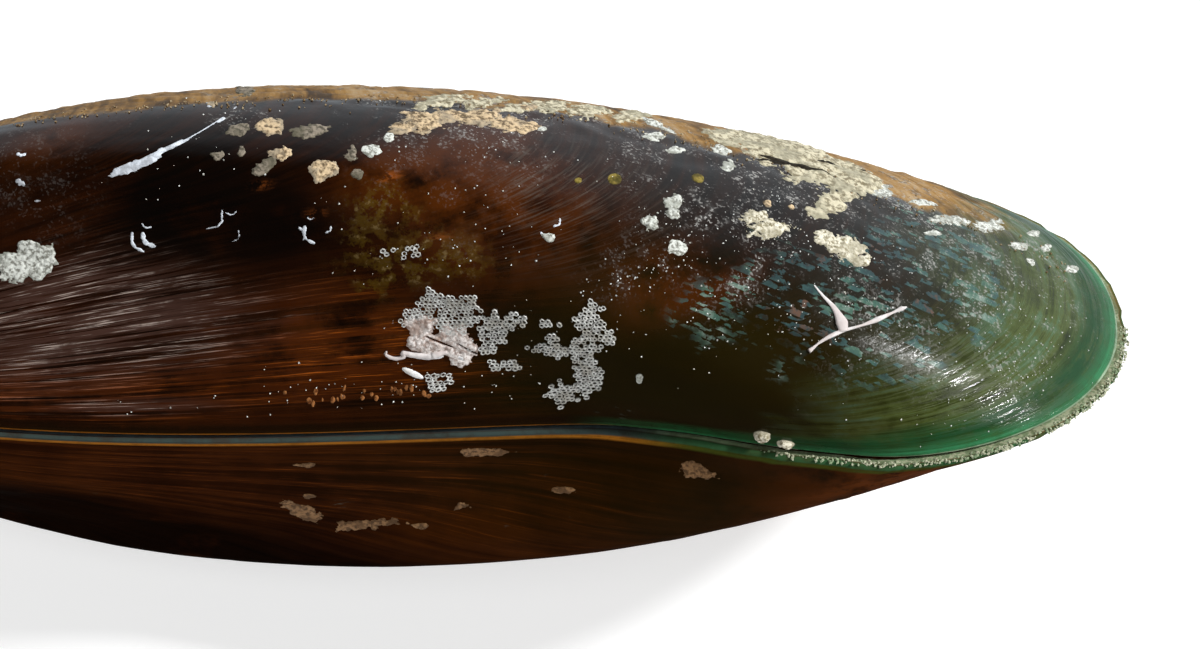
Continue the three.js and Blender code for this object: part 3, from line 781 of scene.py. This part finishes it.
def sheet_points(side, place, lobes, holes, thick, ragged, seed):
    """A patch as a closed sheet over a window round a place, in millimetres: it rises over the skin by a
    grainy thickness inside its ragged outline and dips under the skin outside. Its rows run along the
    growth line, and each is a loop over the top and back below. The second result is 1 in thick parts."""
    middle, one, two = standing(side, *place)[:3]
    half_along = half_across = 0.0
    for way, age, half_long, half_short, turn in lobes:
        away = growth_points(side, np.array(place[0] + way), np.array(place[1] + age)) - middle
        swing, spare = np.radians(turn), 1 + 0.5 * ragged
        wide = np.hypot(half_long * np.cos(swing), half_short * np.sin(swing)) * spare + 0.2
        tall = np.hypot(half_long * np.sin(swing), half_short * np.cos(swing)) * spare + 0.2
        half_along = max(half_along, abs(away @ one) / MM + wide)
        half_across = max(half_across, abs(away @ two) / MM + tall)
    step = SHEET_STEP * (LARGE_SHEET_COARSER if half_along * half_across > LARGE_SHEET else 1)
    along = np.arange(-half_along, half_along + step, step)[:, None]
    across = np.arange(-half_across, half_across + step, step)[None, :]
    way, age = laid_out(side, place, along * MM, across * MM)
    bare = growth_points(side, way, age)
    gnawed = 0.6 * cloud(seed, along / 1.1, across / 1.1)
    gnawed = gnawed + 0.5 * cloud(seed + 1, along / 0.35, across / 0.35)
    depth = depth_in(side, bare, place, lobes) + ragged * gnawed
    depth = np.minimum(depth, -1.5 * depth_in(side, bare, place, holes))
    core = smooth(depth, 0, 0.4)
    grains = 0.35 * cloud(seed + 2, along / 0.8, across / 0.8)
    grains = grains + 0.4 * cloud(seed + 3, along / 0.22, across / 0.22)
    top = core ** 0.7 * thick * (0.75 + grains) + SHEET_SINK * smooth(depth, 0.06, -0.08)
    loop = [np.concatenate([part, part[:, [-1, 0]]], 1) for part in np.broadcast_arrays(way, age, top, core)]
    loop[2][:, -2:] = 2 * SHEET_SINK
    return to_table(skin_points(side, loop[0], loop[1], loop[2] * MM)), loop[3]


def joined_grids(grids):
    """The points and faces of several grids as one mesh."""
    starts = np.cumsum([0] + [grid.shape[0] * grid.shape[1] for grid in grids])
    faces = [grid_faces(*grid.shape[:2]) + start for grid, start in zip(grids, starts)]
    return np.concatenate([grid.reshape(-1, 3) for grid in grids]), np.concatenate(faces)


def single_ovals(rows, thick, ragged, seed, seed_step=1):
    """A patch for each row of way, age, half sizes and turn: one oval round its own place."""
    return [((way, age), ((0.0, 0.0, *sizes),), (), thick, ragged, seed + seed_step * index)
            for index, (way, age, *sizes) in enumerate(rows)]


def sheets_piece(name, side, patches):
    """Several sheets as one mesh, with the loops at their ends closed by many-cornered faces."""
    sheets, cores = zip(*(sheet_points(side, *patch) for patch in patches))
    points, faces = joined_grids(sheets)
    core = np.concatenate([part.ravel() for part in cores])
    return make_piece(name, points, faces.tolist(), {"core": core}, ends=True)


def lime_finish(name, low, high, stain, grain, bump_height, shine=0.25, rough=0.55):
    """Dry lime: pale tones in fine grains, stained in patches and where it thins out, quite rough, with a
    grainy bump."""
    finish, tree, shader = new_finish(name, Specular_IOR_Level=shine)
    place = read_place(tree)
    grains = mottle(place, grain, 5, 0.65)
    patches = mottle(place, grain * 0.2, 4, 0.6, 3.0)
    colour = blend(rise(grains, 0.4, 0.56), low, high)
    thin = rise(read_value(tree, "core") + grains * 0.6, 0.9, 0.35)
    stained = rise(patches, 0.48, 0.62) * 0.75 + thin * 0.6
    colour = blend(arithmetic("MINIMUM", stained, 0.9), colour, stain)
    dress(shader, colour, patches * 0.3 + rough, grains, 0.7, bump_height)
    return finish


lace_white = lime_finish(
    "white_lace_lime", (0.33, 0.33, 0.31), (0.74, 0.75, 0.73), (0.42, 0.4, 0.35), 4000.0, 0.00003)
filled_lime = lime_finish(
    "filled_lace_lime", (0.36, 0.29, 0.26), (0.74, 0.69, 0.66), (0.36, 0.25, 0.2), 2600.0, 0.00015)
band_lime = lime_finish(
    "band_lime", (0.6, 0.6, 0.6), (0.88, 0.88, 0.88), (0.7, 0.68, 0.65), 2600.0, 0.00003, 0.5, 0.2)
front_place, rear_place = node_place("lace_colony_front", 1), node_place("lace_colony_rear", 1)
front_lace = lace_piece("lace_chambers_front", 1, front_place, FRONT_LOBES, FRONT_HOLES, 5)
rear_lace = lace_piece("lace_chambers_rear", 1, rear_place, REAR_LOBES, REAR_HOLES, 6)
stray_lace = lace_piece("lace_chambers_stray", 1, STRAY_PLACE, STRAY_LOBES, (), 7, 0.6)
filled_lace = sheets_piece("lace_filled_front", 1, [
    (front_place, FILLED_LOBES, FILLED_CRACKS, 0.2, 0.6, 11)])
lace_bands = sheets_piece("lace_bands_front", 1, [(front_place, BAND_LOBES, (), 0.2, 0.12, 15)])
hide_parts("lace_colony_front")
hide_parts("lace_colony_rear")
for piece, lime in ((front_lace, lace_white), (rear_lace, lace_white), (stray_lace, lace_white),
                    (filled_lace, filled_lime), (lace_bands, band_lime)):
    piece.data.materials.append(lime)
    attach(piece, "root")


# The chalky crusts: ragged sheets and cakes of lime and sand grains left by sea life, on the crest, the
# rear slope, the lip and the lower valve. The long one at the rear has cracks, with painted shade in them:
# a dark film laid over the cracks.
CRACKS = ((0.01, 0.0, 3.9, 0.3, -78), (0.008, -0.014, 2.2, 0.2, 84), (0.022, 0.03, 1.6, 0.22, -78),
          (0.026, 0.06, 1.0, 0.2, -70))
CRUSTS = {
    "crest_crust_front": (1, (
        (-0.02, -0.026, 2.4, 1.7, 34), (-0.03, -0.034, 1.5, 1.1, 6), (-0.01, -0.013, 2.3, 1.7, 35),
        (-0.004, 0.005, 2.4, 1.3, 34), (-0.008, 0.023, 2.4, 1.2, 61), (-0.008, 0.035, 1.4, 0.8, 45),
        (0.017, 0.037, 1.8, 0.7, 43)), (), 0.2, 0.8, "peach"),
    "crest_crust_rear": (1, (
        (0.025, -0.035, 3.6, 2.0, 47), (0.021, -0.012, 4.6, 2.6, 41), (0.016, 0.01, 5.0, 3.0, 39),
        (0.011, 0.034, 4.3, 2.4, 36), (0.036, 0.03, 4.5, 2.6, 55), (0.025, 0.044, 3.6, 2.4, 60),
        (0.016, 0.054, 2.8, 1.5, 41), (-0.012, 0.016, 2.4, 1.3, 22), (0.031, -0.004, 3.6, 2.2, 57),
        (0.042, 0.004, 3.8, 2.2, 55), (0.05, 0.026, 3.4, 1.9, 58), (0.052, 0.045, 3.0, 1.7, 58)),
        CRACKS, 0.2, 0.6, "drab"),
    "upper_patch": (1, (
        (-0.002, -0.007, 1.2, 0.7, 27), (-0.005, 0.005, 2.1, 0.9, 34)), (), 0.25, 0.9, "cream"),
    "pink_patch": (1, (
        (0.002, 0.0, 2.2, 1.5, 52), (0.003, -0.012, 1.3, 1.0, 44), (-0.001, 0.014, 1.1, 0.6, 25)),
        (), 0.28, 0.6, "cream"),
    "small_patch": (1, (
        (0.006, -0.007, 1.0, 0.7, 4), (-0.002, -0.001, 0.6, 0.5, 0), (-0.013, -0.003, 1.1, 0.9, 12)),
        (), 0.25, 0.9, "white"),
    "beak_side_patch": (1, (
        (0.003, 0.011, 1.6, 1.4, 0), (-0.007, 0.005, 1.6, 1.5, 0), (0.018, -0.031, 1.1, 0.5, 15),
        (0.014, -0.005, 1.0, 0.8, -27)), (), 0.15, 0.45, "white"),
    "barnacle_base": (1, ((0.0, 0.0, 1.2, 1.1, 0),), (), 0.18, 0.4, "peach"),
    "lip_barnacle": (1, (
        (0.0, 0.006, 0.75, 0.6, 0), (0.004, 0.014, 0.8, 0.4, 0)), (), 0.6, 0.3, "cream"),
    "right_crust_front": (-1, (
        (0.0, 0.002, 2.4, 1.1, -34), (-0.016, 0.055, 0.7, 0.5, 12)), (), 0.06, 0.7, "tan"),
    "right_crust_rear": (-1, (
        (0.0, 0.0, 2.9, 0.8, 26), (0.011, 0.02, 0.7, 0.4, 20)), (), 0.06, 0.7, "tan"),
}
LIMES = {
    label: lime_finish(name, low, high, stain, grain, bump_height)
    for label, name, low, high, stain, grain, bump_height in (
        ("peach", "peach_crust", (0.13, 0.09, 0.05), (0.62, 0.47, 0.29), (0.3, 0.25, 0.18), 2200, 0.00012),
        ("drab", "drab_crust", (0.2, 0.17, 0.105), (0.6, 0.55, 0.4), (0.3, 0.28, 0.2), 1800, 0.00012),
        ("cream", "cream_crust", (0.22, 0.19, 0.11), (0.74, 0.7, 0.57), (0.36, 0.33, 0.24), 2600, 0.00012),
        ("white", "white_crust", (0.2, 0.2, 0.17), (0.66, 0.68, 0.63), (0.28, 0.29, 0.25), 3000, 0.0001),
        ("grey", "grey_crust", (0.08, 0.07, 0.05), (0.26, 0.22, 0.17), (0.1, 0.09, 0.06), 2600, 0.0001),
        # Near-black lime for the painted shade in the rear crust's cracks.
        ("crack_shade", "dark_crack_shade", (0.008, 0.006, 0.004), (0.03, 0.024, 0.016), (0.02, 0.016, 0.01), 2600,
         0.00006),
        ("tan", "tan_crust", (0.09, 0.045, 0.018), (0.27, 0.145, 0.062), (0.09, 0.045, 0.018), 2600,
         0.00006),
        ("orange", "orange_crust", (0.1, 0.03, 0.006), (0.32, 0.13, 0.04), (0.08, 0.03, 0.008), 2600,
         0.00006),
        ("olive", "olive_crust", (0.1, 0.08, 0.01), (0.24, 0.18, 0.04), (0.05, 0.04, 0.01), 2600, 0.00006))
}
BITS = {
    "peach": (1, 0.15, 0.8, (
        (0.439, 0.473, 1.2, 1.1, 82), (0.411, 0.503, 1.2, 0.7, 38), (0.464, 0.762, 0.4, 0.3, 0),
        (0.467, 0.776, 0.4, 0.3, 0), (0.47, 0.421, 0.7, 0.3, -18))),
    "grey": (1, 0.12, 0.8, (
        (0.394, 0.509, 1.5, 0.6, -15), (0.439, 0.497, 1.6, 0.8, 33), (0.4, 0.473, 0.6, 0.5, 0),
        (0.408, 0.481, 0.7, 0.3, -61), (0.433, 0.457, 0.8, 0.7, 0), (0.422, 0.537, 0.9, 0.7, -49),
        (0.405, 0.559, 0.5, 0.4, 0), (0.505, 0.44, 2.2, 0.8, 12))),
    "drab": (1, 0.12, 0.9, (
        (0.497, 0.56, 3.2, 1.2, 50), (0.503, 0.585, 2.8, 1.0, 55), (0.502, 0.61, 2.8, 1.0, 60),
        (0.513, 0.632, 3.2, 1.2, 52), (0.516, 0.66, 3.4, 1.4, 55), (0.52, 0.69, 3.4, 1.3, 60),
        (0.469, 0.792, 1.4, 0.8, 49))),
    "white": (1, 0.1, 0.7, (
        (0.444, 0.541, 0.6, 0.45, -31), (0.428, 0.543, 0.9, 0.7, 18), (0.478, 0.619, 0.6, 0.3, 51),
        (0.494, 0.689, 1.3, 0.7, 45), (0.486, 0.701, 1.2, 0.5, 52), (0.497, 0.733, 1.1, 0.8, 46),
        (0.484, 0.735, 1.3, 0.6, 17), (0.398, 0.693, 0.6, 0.35, 39), (0.42, 0.747, 0.9, 0.7, 16),
        (0.333, 0.898, 0.6, 0.3, -87), (0.515, 0.697, 2.6, 0.9, -20), (0.503, 0.84, 2.7, 1.1, 44),
        (0.498, 0.886, 2.9, 0.9, 66), (0.506, 0.92, 2.6, 1.0, 57), (0.484, 0.868, 1.2, 0.4, 51),
        (0.505, 0.872, 1.8, 0.5, 73), (0.498, 0.934, 1.5, 0.6, 58), (0.491, 0.938, 0.7, 0.4, 34),
        (0.506, 0.96, 1.3, 0.5, 50), (0.498, 0.972, 1.3, 0.5, 54), (0.516, 0.965, 1.6, 0.4, 65))),
    "olive": (1, 0.08, 0.15, (
        (0.45, 0.675, 0.8, 0.65, 0), (0.467, 0.717, 0.8, 0.6, 0), (0.442, 0.659, 0.4, 0.3, 0))),
    "tan": (-1, 0.05, 0.8, (
        (0.269, 0.948, 2.4, 0.6, 0), (0.334, 0.952, 1.7, 0.8, -6), (0.317, 0.88, 1.0, 0.4, 13),
        (0.308, 0.814, 1.0, 0.5, 16), (0.228, 0.902, 1.0, 0.4, 2), (0.403, 0.9, 0.5, 0.4, 0))),
}
DOTS = np.random.default_rng(9).uniform(
    (0.215, 0.907, 0.14, 0.22, -15), (0.26, 0.938, 0.24, 0.4, 15), (22, 5))

crusts = []
for seed, (node, (side, lobes, holes, thick, ragged, lime)) in enumerate(CRUSTS.items()):
    crust = sheets_piece("chalk_" + node, side, [
        (node_place(node, side), lobes, holes, thick, ragged, 50 + 7 * seed)])
    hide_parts(node)
    crusts.append((crust, lime))
for seed, (lime, (side, thick, ragged, ovals)) in enumerate(BITS.items()):
    patches = single_ovals(ovals, thick, ragged, 200 + 31 * seed, 3)
    crusts.append((sheets_piece("chalk_bits_" + lime, side, patches), lime))
crusts.append((sheets_piece("chalk_dots", 1, single_ovals(DOTS, 0.06, 0.3, 400)), "orange"))
# Painted shade: a dark film over the rear crust's cracks.
crusts.append((sheets_piece("painted_crack_shade", 1, [
    (node_place("crest_crust_rear", 1), CRACKS, (), 0.22, 0.15, 600)]), "crack_shade"))
for crust, lime in crusts:
    crust.data.materials.append(LIMES[lime])
    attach(crust, "root")


# The pale scratch and glints: a long nick in the dark skin of the front slope, widest at its lower end,
# which bares white shell, and short bent pale slivers near it, which are painted highlights. Each is
# shown as a film just proud of the skin.
SCRATCH_PLACE = (0.376, 0.44)
SCRATCH = ((0.0, 0.0, 2.4, 0.5, 3), (0.024, -0.004, 2.8, 0.28, 0), (0.052, -0.003, 3.0, 0.14, 0),
           (0.078, -0.004, 2.2, 0.1, 0))
# Painted highlights: places, half sizes and turns of the short pale slivers that stand for glints.
GLINT_SLIVERS = (
    (0.277, 0.577, 0.9, 0.16, 75), (0.298, 0.551, 0.45, 0.09, 35), (0.2825, 0.578, 0.75, 0.23, 65),
    (0.322, 0.575, 1.1, 0.11, -37), (0.336, 0.563, 0.5, 0.08, 1), (0.312, 0.607, 0.6, 0.06, -48),
    (0.333, 0.625, 0.85, 0.2, 76), (0.337, 0.618, 0.6, 0.15, 265), (0.353, 0.597, 0.3, 0.08, 12),
    (0.347, 0.621, 0.4, 0.12, -40), (0.398, 0.691, 0.4, 0.14, 39), (0.409, 0.685, 0.5, 0.12, -26),
    (0.388, 0.349, 0.4, 0.2, 36), (0.336, 0.395, 0.35, 0.25, 50), (0.47, 0.421, 0.6, 0.25, -18),
)


def sliver(place, half_long, half_short, turn):
    """A bent sliver as three ovals end to end along a shallow arc through a place."""
    ovals = []
    for step in (-1, 0, 1):
        ahead, aside = 0.7 * half_long * step, -0.3 * half_long * step ** 2
        swing = np.radians(turn)
        along = ahead * np.cos(swing) - aside * np.sin(swing)
        across = ahead * np.sin(swing) + aside * np.cos(swing)
        way, age = laid_out(1, place, np.array(along * MM), np.array(across * MM))
        ovals.append((way - place[0], age - place[1], 0.5 * half_long, half_short, turn - 35 * step))
    return ovals


scratch = sheets_piece("pale_scratch", 1, [(SCRATCH_PLACE, SCRATCH, (), 0.05, 0.3, 90)])
glint_slivers = sheets_piece("painted_glints", 1, [
    ((way, age), sliver((way, age), *sizes), (), 0.04, 0.35, 120 + index)
    for index, (way, age, *sizes) in enumerate(GLINT_SLIVERS)])
# A pale blue-white finish for the scratch's bared shell and for the painted highlights.
bared_shell_and_glints = lime_finish(
    "scratched_shell_and_glints", (0.5, 0.54, 0.6), (0.78, 0.83, 0.9), (0.35, 0.37, 0.4), 2600.0, 0.00003, 0.5, 0.25)
for piece in (scratch, glint_slivers):
    piece.data.materials.append(bared_shell_and_glints)
    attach(piece, "root")


# Sand grains: specks of white sand and shell grit caught on the skin in clusters, and coarser green-white
# grit packed along the rear lip and brown grit along the edge of the worn crest.
GRIT_CLUSTERS = (
    (0.395, 0.76, 5, 1.5, 45), (0.425, 0.745, 5, 4, 70), (0.452, 0.775, 6, 4, 90), (0.4, 0.82, 9, 4, 60),
    (0.44, 0.6, 14, 8, 60), (0.43, 0.86, 10, 6, 110), (0.45, 0.945, 8, 5, 120), (0.24, 0.915, 22, 2, 70),
    (0.37, 0.68, 8, 3, 45), (0.35, 0.8, 12, 5, 40), (0.42, 0.46, 10, 5, 30), (0.42, 0.965, 8, 2.5, 70),
)
GRIT_HALF, LIP_GRIT_HALF, CREST_GRIT_HALF = (0.03, 0.11), (0.08, 0.22), (0.05, 0.17)
LIP_GRIT_COUNT, CREST_GRIT_COUNT = 520, 480


def grit_piece(name, middle, half, seed):
    """Eight-sided specks: six points at uneven distances along a grain's own turned axes, half sunk."""
    dice = np.random.default_rng(seed)
    count = len(middle)
    reach = dice.uniform(*half, count)[:, None, None] * dice.uniform(0.6, 1.2, (count, 6, 1)) * MM
    axes = np.linalg.qr(dice.normal(0, 1, (count, 3, 3)))[0]
    points = middle[:, None] + np.concatenate([axes, -axes], 1) * reach
    one = np.array([(0, 1, 2), (1, 3, 2), (3, 4, 2), (4, 0, 2), (1, 0, 5), (3, 1, 5), (4, 3, 5), (0, 4, 5)])
    faces = (np.arange(count)[:, None, None] * 6 + one).reshape(-1, 3)
    return make_piece(name, to_table(points), faces, {"core": np.ones(points.shape[:-1])}, flat=True)


dice = np.random.default_rng(77)
grit_way, grit_age = [], []
for way, age, half_along, half_across, count in GRIT_CLUSTERS:
    spread = laid_out(1, (way, age), dice.normal(0, 0.55, count) * half_along * MM,
                      dice.normal(0, 0.55, count) * half_across * MM)
    grit_way.append(spread[0])
    grit_age.append(spread[1])
sand_middle = skin_points(1, np.concatenate(grit_way), np.concatenate(grit_age), 0.02 * MM)
sand = grit_piece("sand_specks", sand_middle, GRIT_HALF, 78)
lip_way = 0.335 + 0.145 * dice.uniform(0, 1, LIP_GRIT_COUNT) ** 0.8
lip_low = np.full((LIP_GRIT_COUNT, 1), -MARGIN_GAP / 2)
lip_middle = np.concatenate([margin_line(GROWN_MARGIN, lip_way), lip_low], -1)
lip_out = dice.uniform(0, 0.9, (LIP_GRIT_COUNT, 1)) * LIP_PROUD_REAR
lip_middle = lip_middle + margin_outward(lip_way) * lip_out
lip_grit = grit_piece("lip_grit", lip_middle, LIP_GRIT_HALF, 79)
crest_age = dice.uniform(0.3, 0.97, CREST_GRIT_COUNT)
crest_way = 0.461 + 0.038 * smooth(crest_age, 0.3, 0.64) + dice.normal(0, 0.006, CREST_GRIT_COUNT)
crest_middle = skin_points(1, crest_way, crest_age, 0.04 * MM)
crest_grit = grit_piece("crest_grit", crest_middle, CREST_GRIT_HALF, 80)
for grit, *lime in (
    (sand, "white_sand", (0.6, 0.62, 0.6), (0.85, 0.87, 0.85), (0.5, 0.48, 0.4), 5000, 0.00002, 0.5, 0.15),
    (lip_grit, "lip_sand", (0.24, 0.28, 0.17), (0.52, 0.52, 0.38), (0.2, 0.3, 0.16), 3000, 0.00004, 0.4, 0.3),
    (crest_grit, "crest_sand", (0.12, 0.07, 0.03), (0.4, 0.32, 0.2), (0.2, 0.12, 0.05), 3000, 0.00004, 0.3,
     0.5),
):
    grit.data.materials.append(lime_finish(*lime))
    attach(grit, "root")


# The worm tubes: smooth white lime pipes about half a millimetre thick that worms built flat on the shell,
# one curled beside the front lace and one forked on the rear slope, which is thickest at its knee.
CURLED_WAY = ((0.2687, 0.8457), (0.2665, 0.853), (0.2672, 0.8597), (0.271, 0.857), (0.2725, 0.851),
              (0.2745, 0.856), (0.278, 0.8605), (0.2812, 0.858), (0.2859, 0.855))
FORKED_WAYS = (
    ((0.398, 0.8737), (0.406, 0.868), (0.4141, 0.8662), (0.4234, 0.869), (0.4344, 0.8715), (0.4391, 0.8737)),
    ((0.4297, 0.8236), (0.4266, 0.8337), (0.4234, 0.8457), (0.4188, 0.8577), (0.4145, 0.867)),
)
CURLED_RADII = (0.08, 0.14, 0.17, 0.2, 0.22, 0.26, 0.3, 0.14)
LONG_ARM_RADII = (0.2, 0.09, 0.15, 0.2, 0.14, 0.1, 0.24, 0.1, 0.22, 0.06)
SHORT_ARM_RADII = (0.07, 0.12, 0.19, 0.32, 0.6, 0.4)


def curve_through(knots, count):
    """A smooth curve through knots: a Catmull-Rom spline sampled evenly in its own parameter."""
    knots = np.array(knots, float)
    padded = np.concatenate([2 * knots[:1] - knots[1:2], knots, 2 * knots[-1:] - knots[-2:-1]])
    t = np.linspace(0, len(knots) - 1 - 1e-9, count)
    k, f = np.floor(t).astype(int), (t - np.floor(t))[:, None]
    a, b, c, d = (padded[k + n] for n in range(4))
    bend, twist = 2 * a - 5 * b + 4 * c - d, 3 * b - a - 3 * c + d
    return 0.5 * (2 * b + (c - a) * f + bend * f ** 2 + twist * f ** 3)


def pipe_points(side, knots, radii, count=60, sides=14, squash=1.0, rings=0.0):
    """A round section carried along a curve lying on the valve: the section turns from the curve's own
    side direction to the valve's outward one, and its radius runs through the given radii."""
    route = curve_through(knots, count)
    way, age = route[:, 0], route[:, 1]
    foot = skin_points(side, way, age)
    up = outward(side, way, age)
    ahead = np.gradient(foot, axis=0)
    ahead /= np.linalg.norm(ahead, axis=-1, keepdims=True)
    out = np.cross(ahead, up)
    share = np.linspace(0, 1, count)
    radius = np.interp(share, np.linspace(0, 1, len(radii)), radii) * MM
    radius = radius * (1 + rings * np.sin(share * count * 1.3))
    turn = (np.arange(sides) / sides * 2 * np.pi)[None, :, None]
    radius = radius[:, None, None]
    middle = foot + up * radius[:, 0] * squash * 0.75
    return to_table(middle[:, None] + out[:, None] * radius * np.cos(turn)
                    + up[:, None] * radius * squash * np.sin(turn))


tube_lime = lime_finish(
    "white_tube_lime", (0.6, 0.62, 0.62), (0.86, 0.88, 0.88), (0.55, 0.48, 0.46), 1500.0, 0.00003)
curled = joined_grids([pipe_points(1, CURLED_WAY, CURLED_RADII, rings=0.04)])
forked = joined_grids([
    pipe_points(1, FORKED_WAYS[0], LONG_ARM_RADII, squash=0.7),
    pipe_points(1, FORKED_WAYS[1], SHORT_ARM_RADII, squash=0.45)])
curled_tube = make_piece("curled_tube", *curled, ends=True)
forked_tube = make_piece("forked_tube", *forked, ends=True)
for tube, node in ((curled_tube, "curled_worm_tube"), (forked_tube, "forked_worm_tube")):
    tube.data.materials.append(tube_lime)
    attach(tube, "root")
    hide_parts(node)


# The view: from above the belly side, turned slightly towards the rear end and rolled so that the seam
# between the valves runs nearly level. Angles are in the shell's own frame.
VIEW_ELEVATION, VIEW_AZIMUTH, VIEW_ROLL = np.radians(37.72), np.radians(1.47), np.radians(4.04)
VIEW_TARGET = np.array([83.46, 25, -8.98]) * MM
VIEW_DISTANCE = 450 * MM
FOCAL_LENGTH = 147.56

back = np.array([np.sin(VIEW_AZIMUTH) * np.cos(VIEW_ELEVATION),
                 -np.cos(VIEW_AZIMUTH) * np.cos(VIEW_ELEVATION), np.sin(VIEW_ELEVATION)])
level = np.array([np.cos(VIEW_AZIMUTH), np.sin(VIEW_AZIMUTH), 0])
upright = np.cross(back, level)
right = np.cos(VIEW_ROLL) * level + np.sin(VIEW_ROLL) * upright
above = np.cos(VIEW_ROLL) * upright - np.sin(VIEW_ROLL) * level
camera = add_object("camera", bpy.data.cameras.new("camera"))
bpy.context.scene.camera = camera
camera.data.lens = FOCAL_LENGTH
camera.data.sensor_width = 36
camera.data.clip_start, camera.data.clip_end = 0.01, 20
turned_axes = TURN @ np.stack([right, above, back], -1)
stand = (VIEW_TARGET + VIEW_DISTANCE * back) @ TURN.T + SHIFT
camera.matrix_world = Matrix([[*turned_axes[i], stand[i]] for i in range(3)] + [[0, 0, 0, 1]])


# The floor: a wide pale matt sheet, on which the shell lies by itself. It glows a little, as if lit from
# below, so that the shadow on it stays faint.
FLOOR_HALF = 3.0
floor_mesh = bpy.data.meshes.new("floor")
floor_corners = [(x * FLOOR_HALF, y * FLOOR_HALF, 0) for x, y in ((-1, -1), (1, -1), (1, 1), (-1, 1))]
floor_mesh.from_pydata(floor_corners, [], [(0, 1, 2, 3)])
floor = add_object("floor", floor_mesh)
floor.data.materials.append(new_finish(
    "pale_floor", Base_Color=(0.65, 0.65, 0.65, 1), Roughness=0.9, Specular_IOR_Level=0.0,
    Emission_Color=(1, 1, 1, 1), Emission_Strength=0.55)[0])
floor.visible_glossy = False


# The light: a soft lamp low over the rear end, a narrow weaker one beside it that only makes the glint, a
# weak wide fill from the front, and a surround that is dark overhead and in front and pale blue behind.
def add_lamp(name, elevation, azimuth, strength, width, mirrored=True, matt=True):
    """A lamp as far as the sun, shining from an elevation and an azimuth in degrees: 0 is the front."""
    lamp = add_object(name, bpy.data.lights.new(name, "SUN"))
    lamp.data.energy, lamp.data.angle = strength, np.radians(width)
    high, way = np.radians(elevation), np.radians(azimuth)
    towards = Vector((np.sin(way) * np.cos(high), -np.cos(way) * np.cos(high), np.sin(high)))
    lamp.rotation_mode = "QUATERNION"
    lamp.rotation_quaternion = towards.to_track_quat("Z", "Y")
    lamp.visible_glossy, lamp.visible_diffuse = mirrored, matt


add_lamp("key_lamp", 36, 114, 4.2, 7, mirrored=False)
add_lamp("glint_lamp", 36, 112, 0.7, 1.0, matt=False)
add_lamp("fill_lamp", 62, 0, 1.3, 60, mirrored=False)
surround = bpy.data.worlds.new("surround")
bpy.context.scene.world = surround
surround.use_nodes = True
sky = surround.node_tree
axes = add_node(sky, "ShaderNodeSeparateXYZ", read_place(sky, "Generated")).outputs
back_and_low = rise(Wire(axes["Y"]), -0.25, 0.7) * rise(Wire(axes["Z"]), 0.85, 0.1)
sky_colour = blend(back_and_low, (0.03, 0.027, 0.023), (0.6, 0.66, 0.71))
fill(sky.nodes["Background"].inputs["Color"], sky_colour)
sky.nodes["Background"].inputs["Strength"].default_value = 1.0
bpy.context.scene.view_settings.view_transform = "Standard"
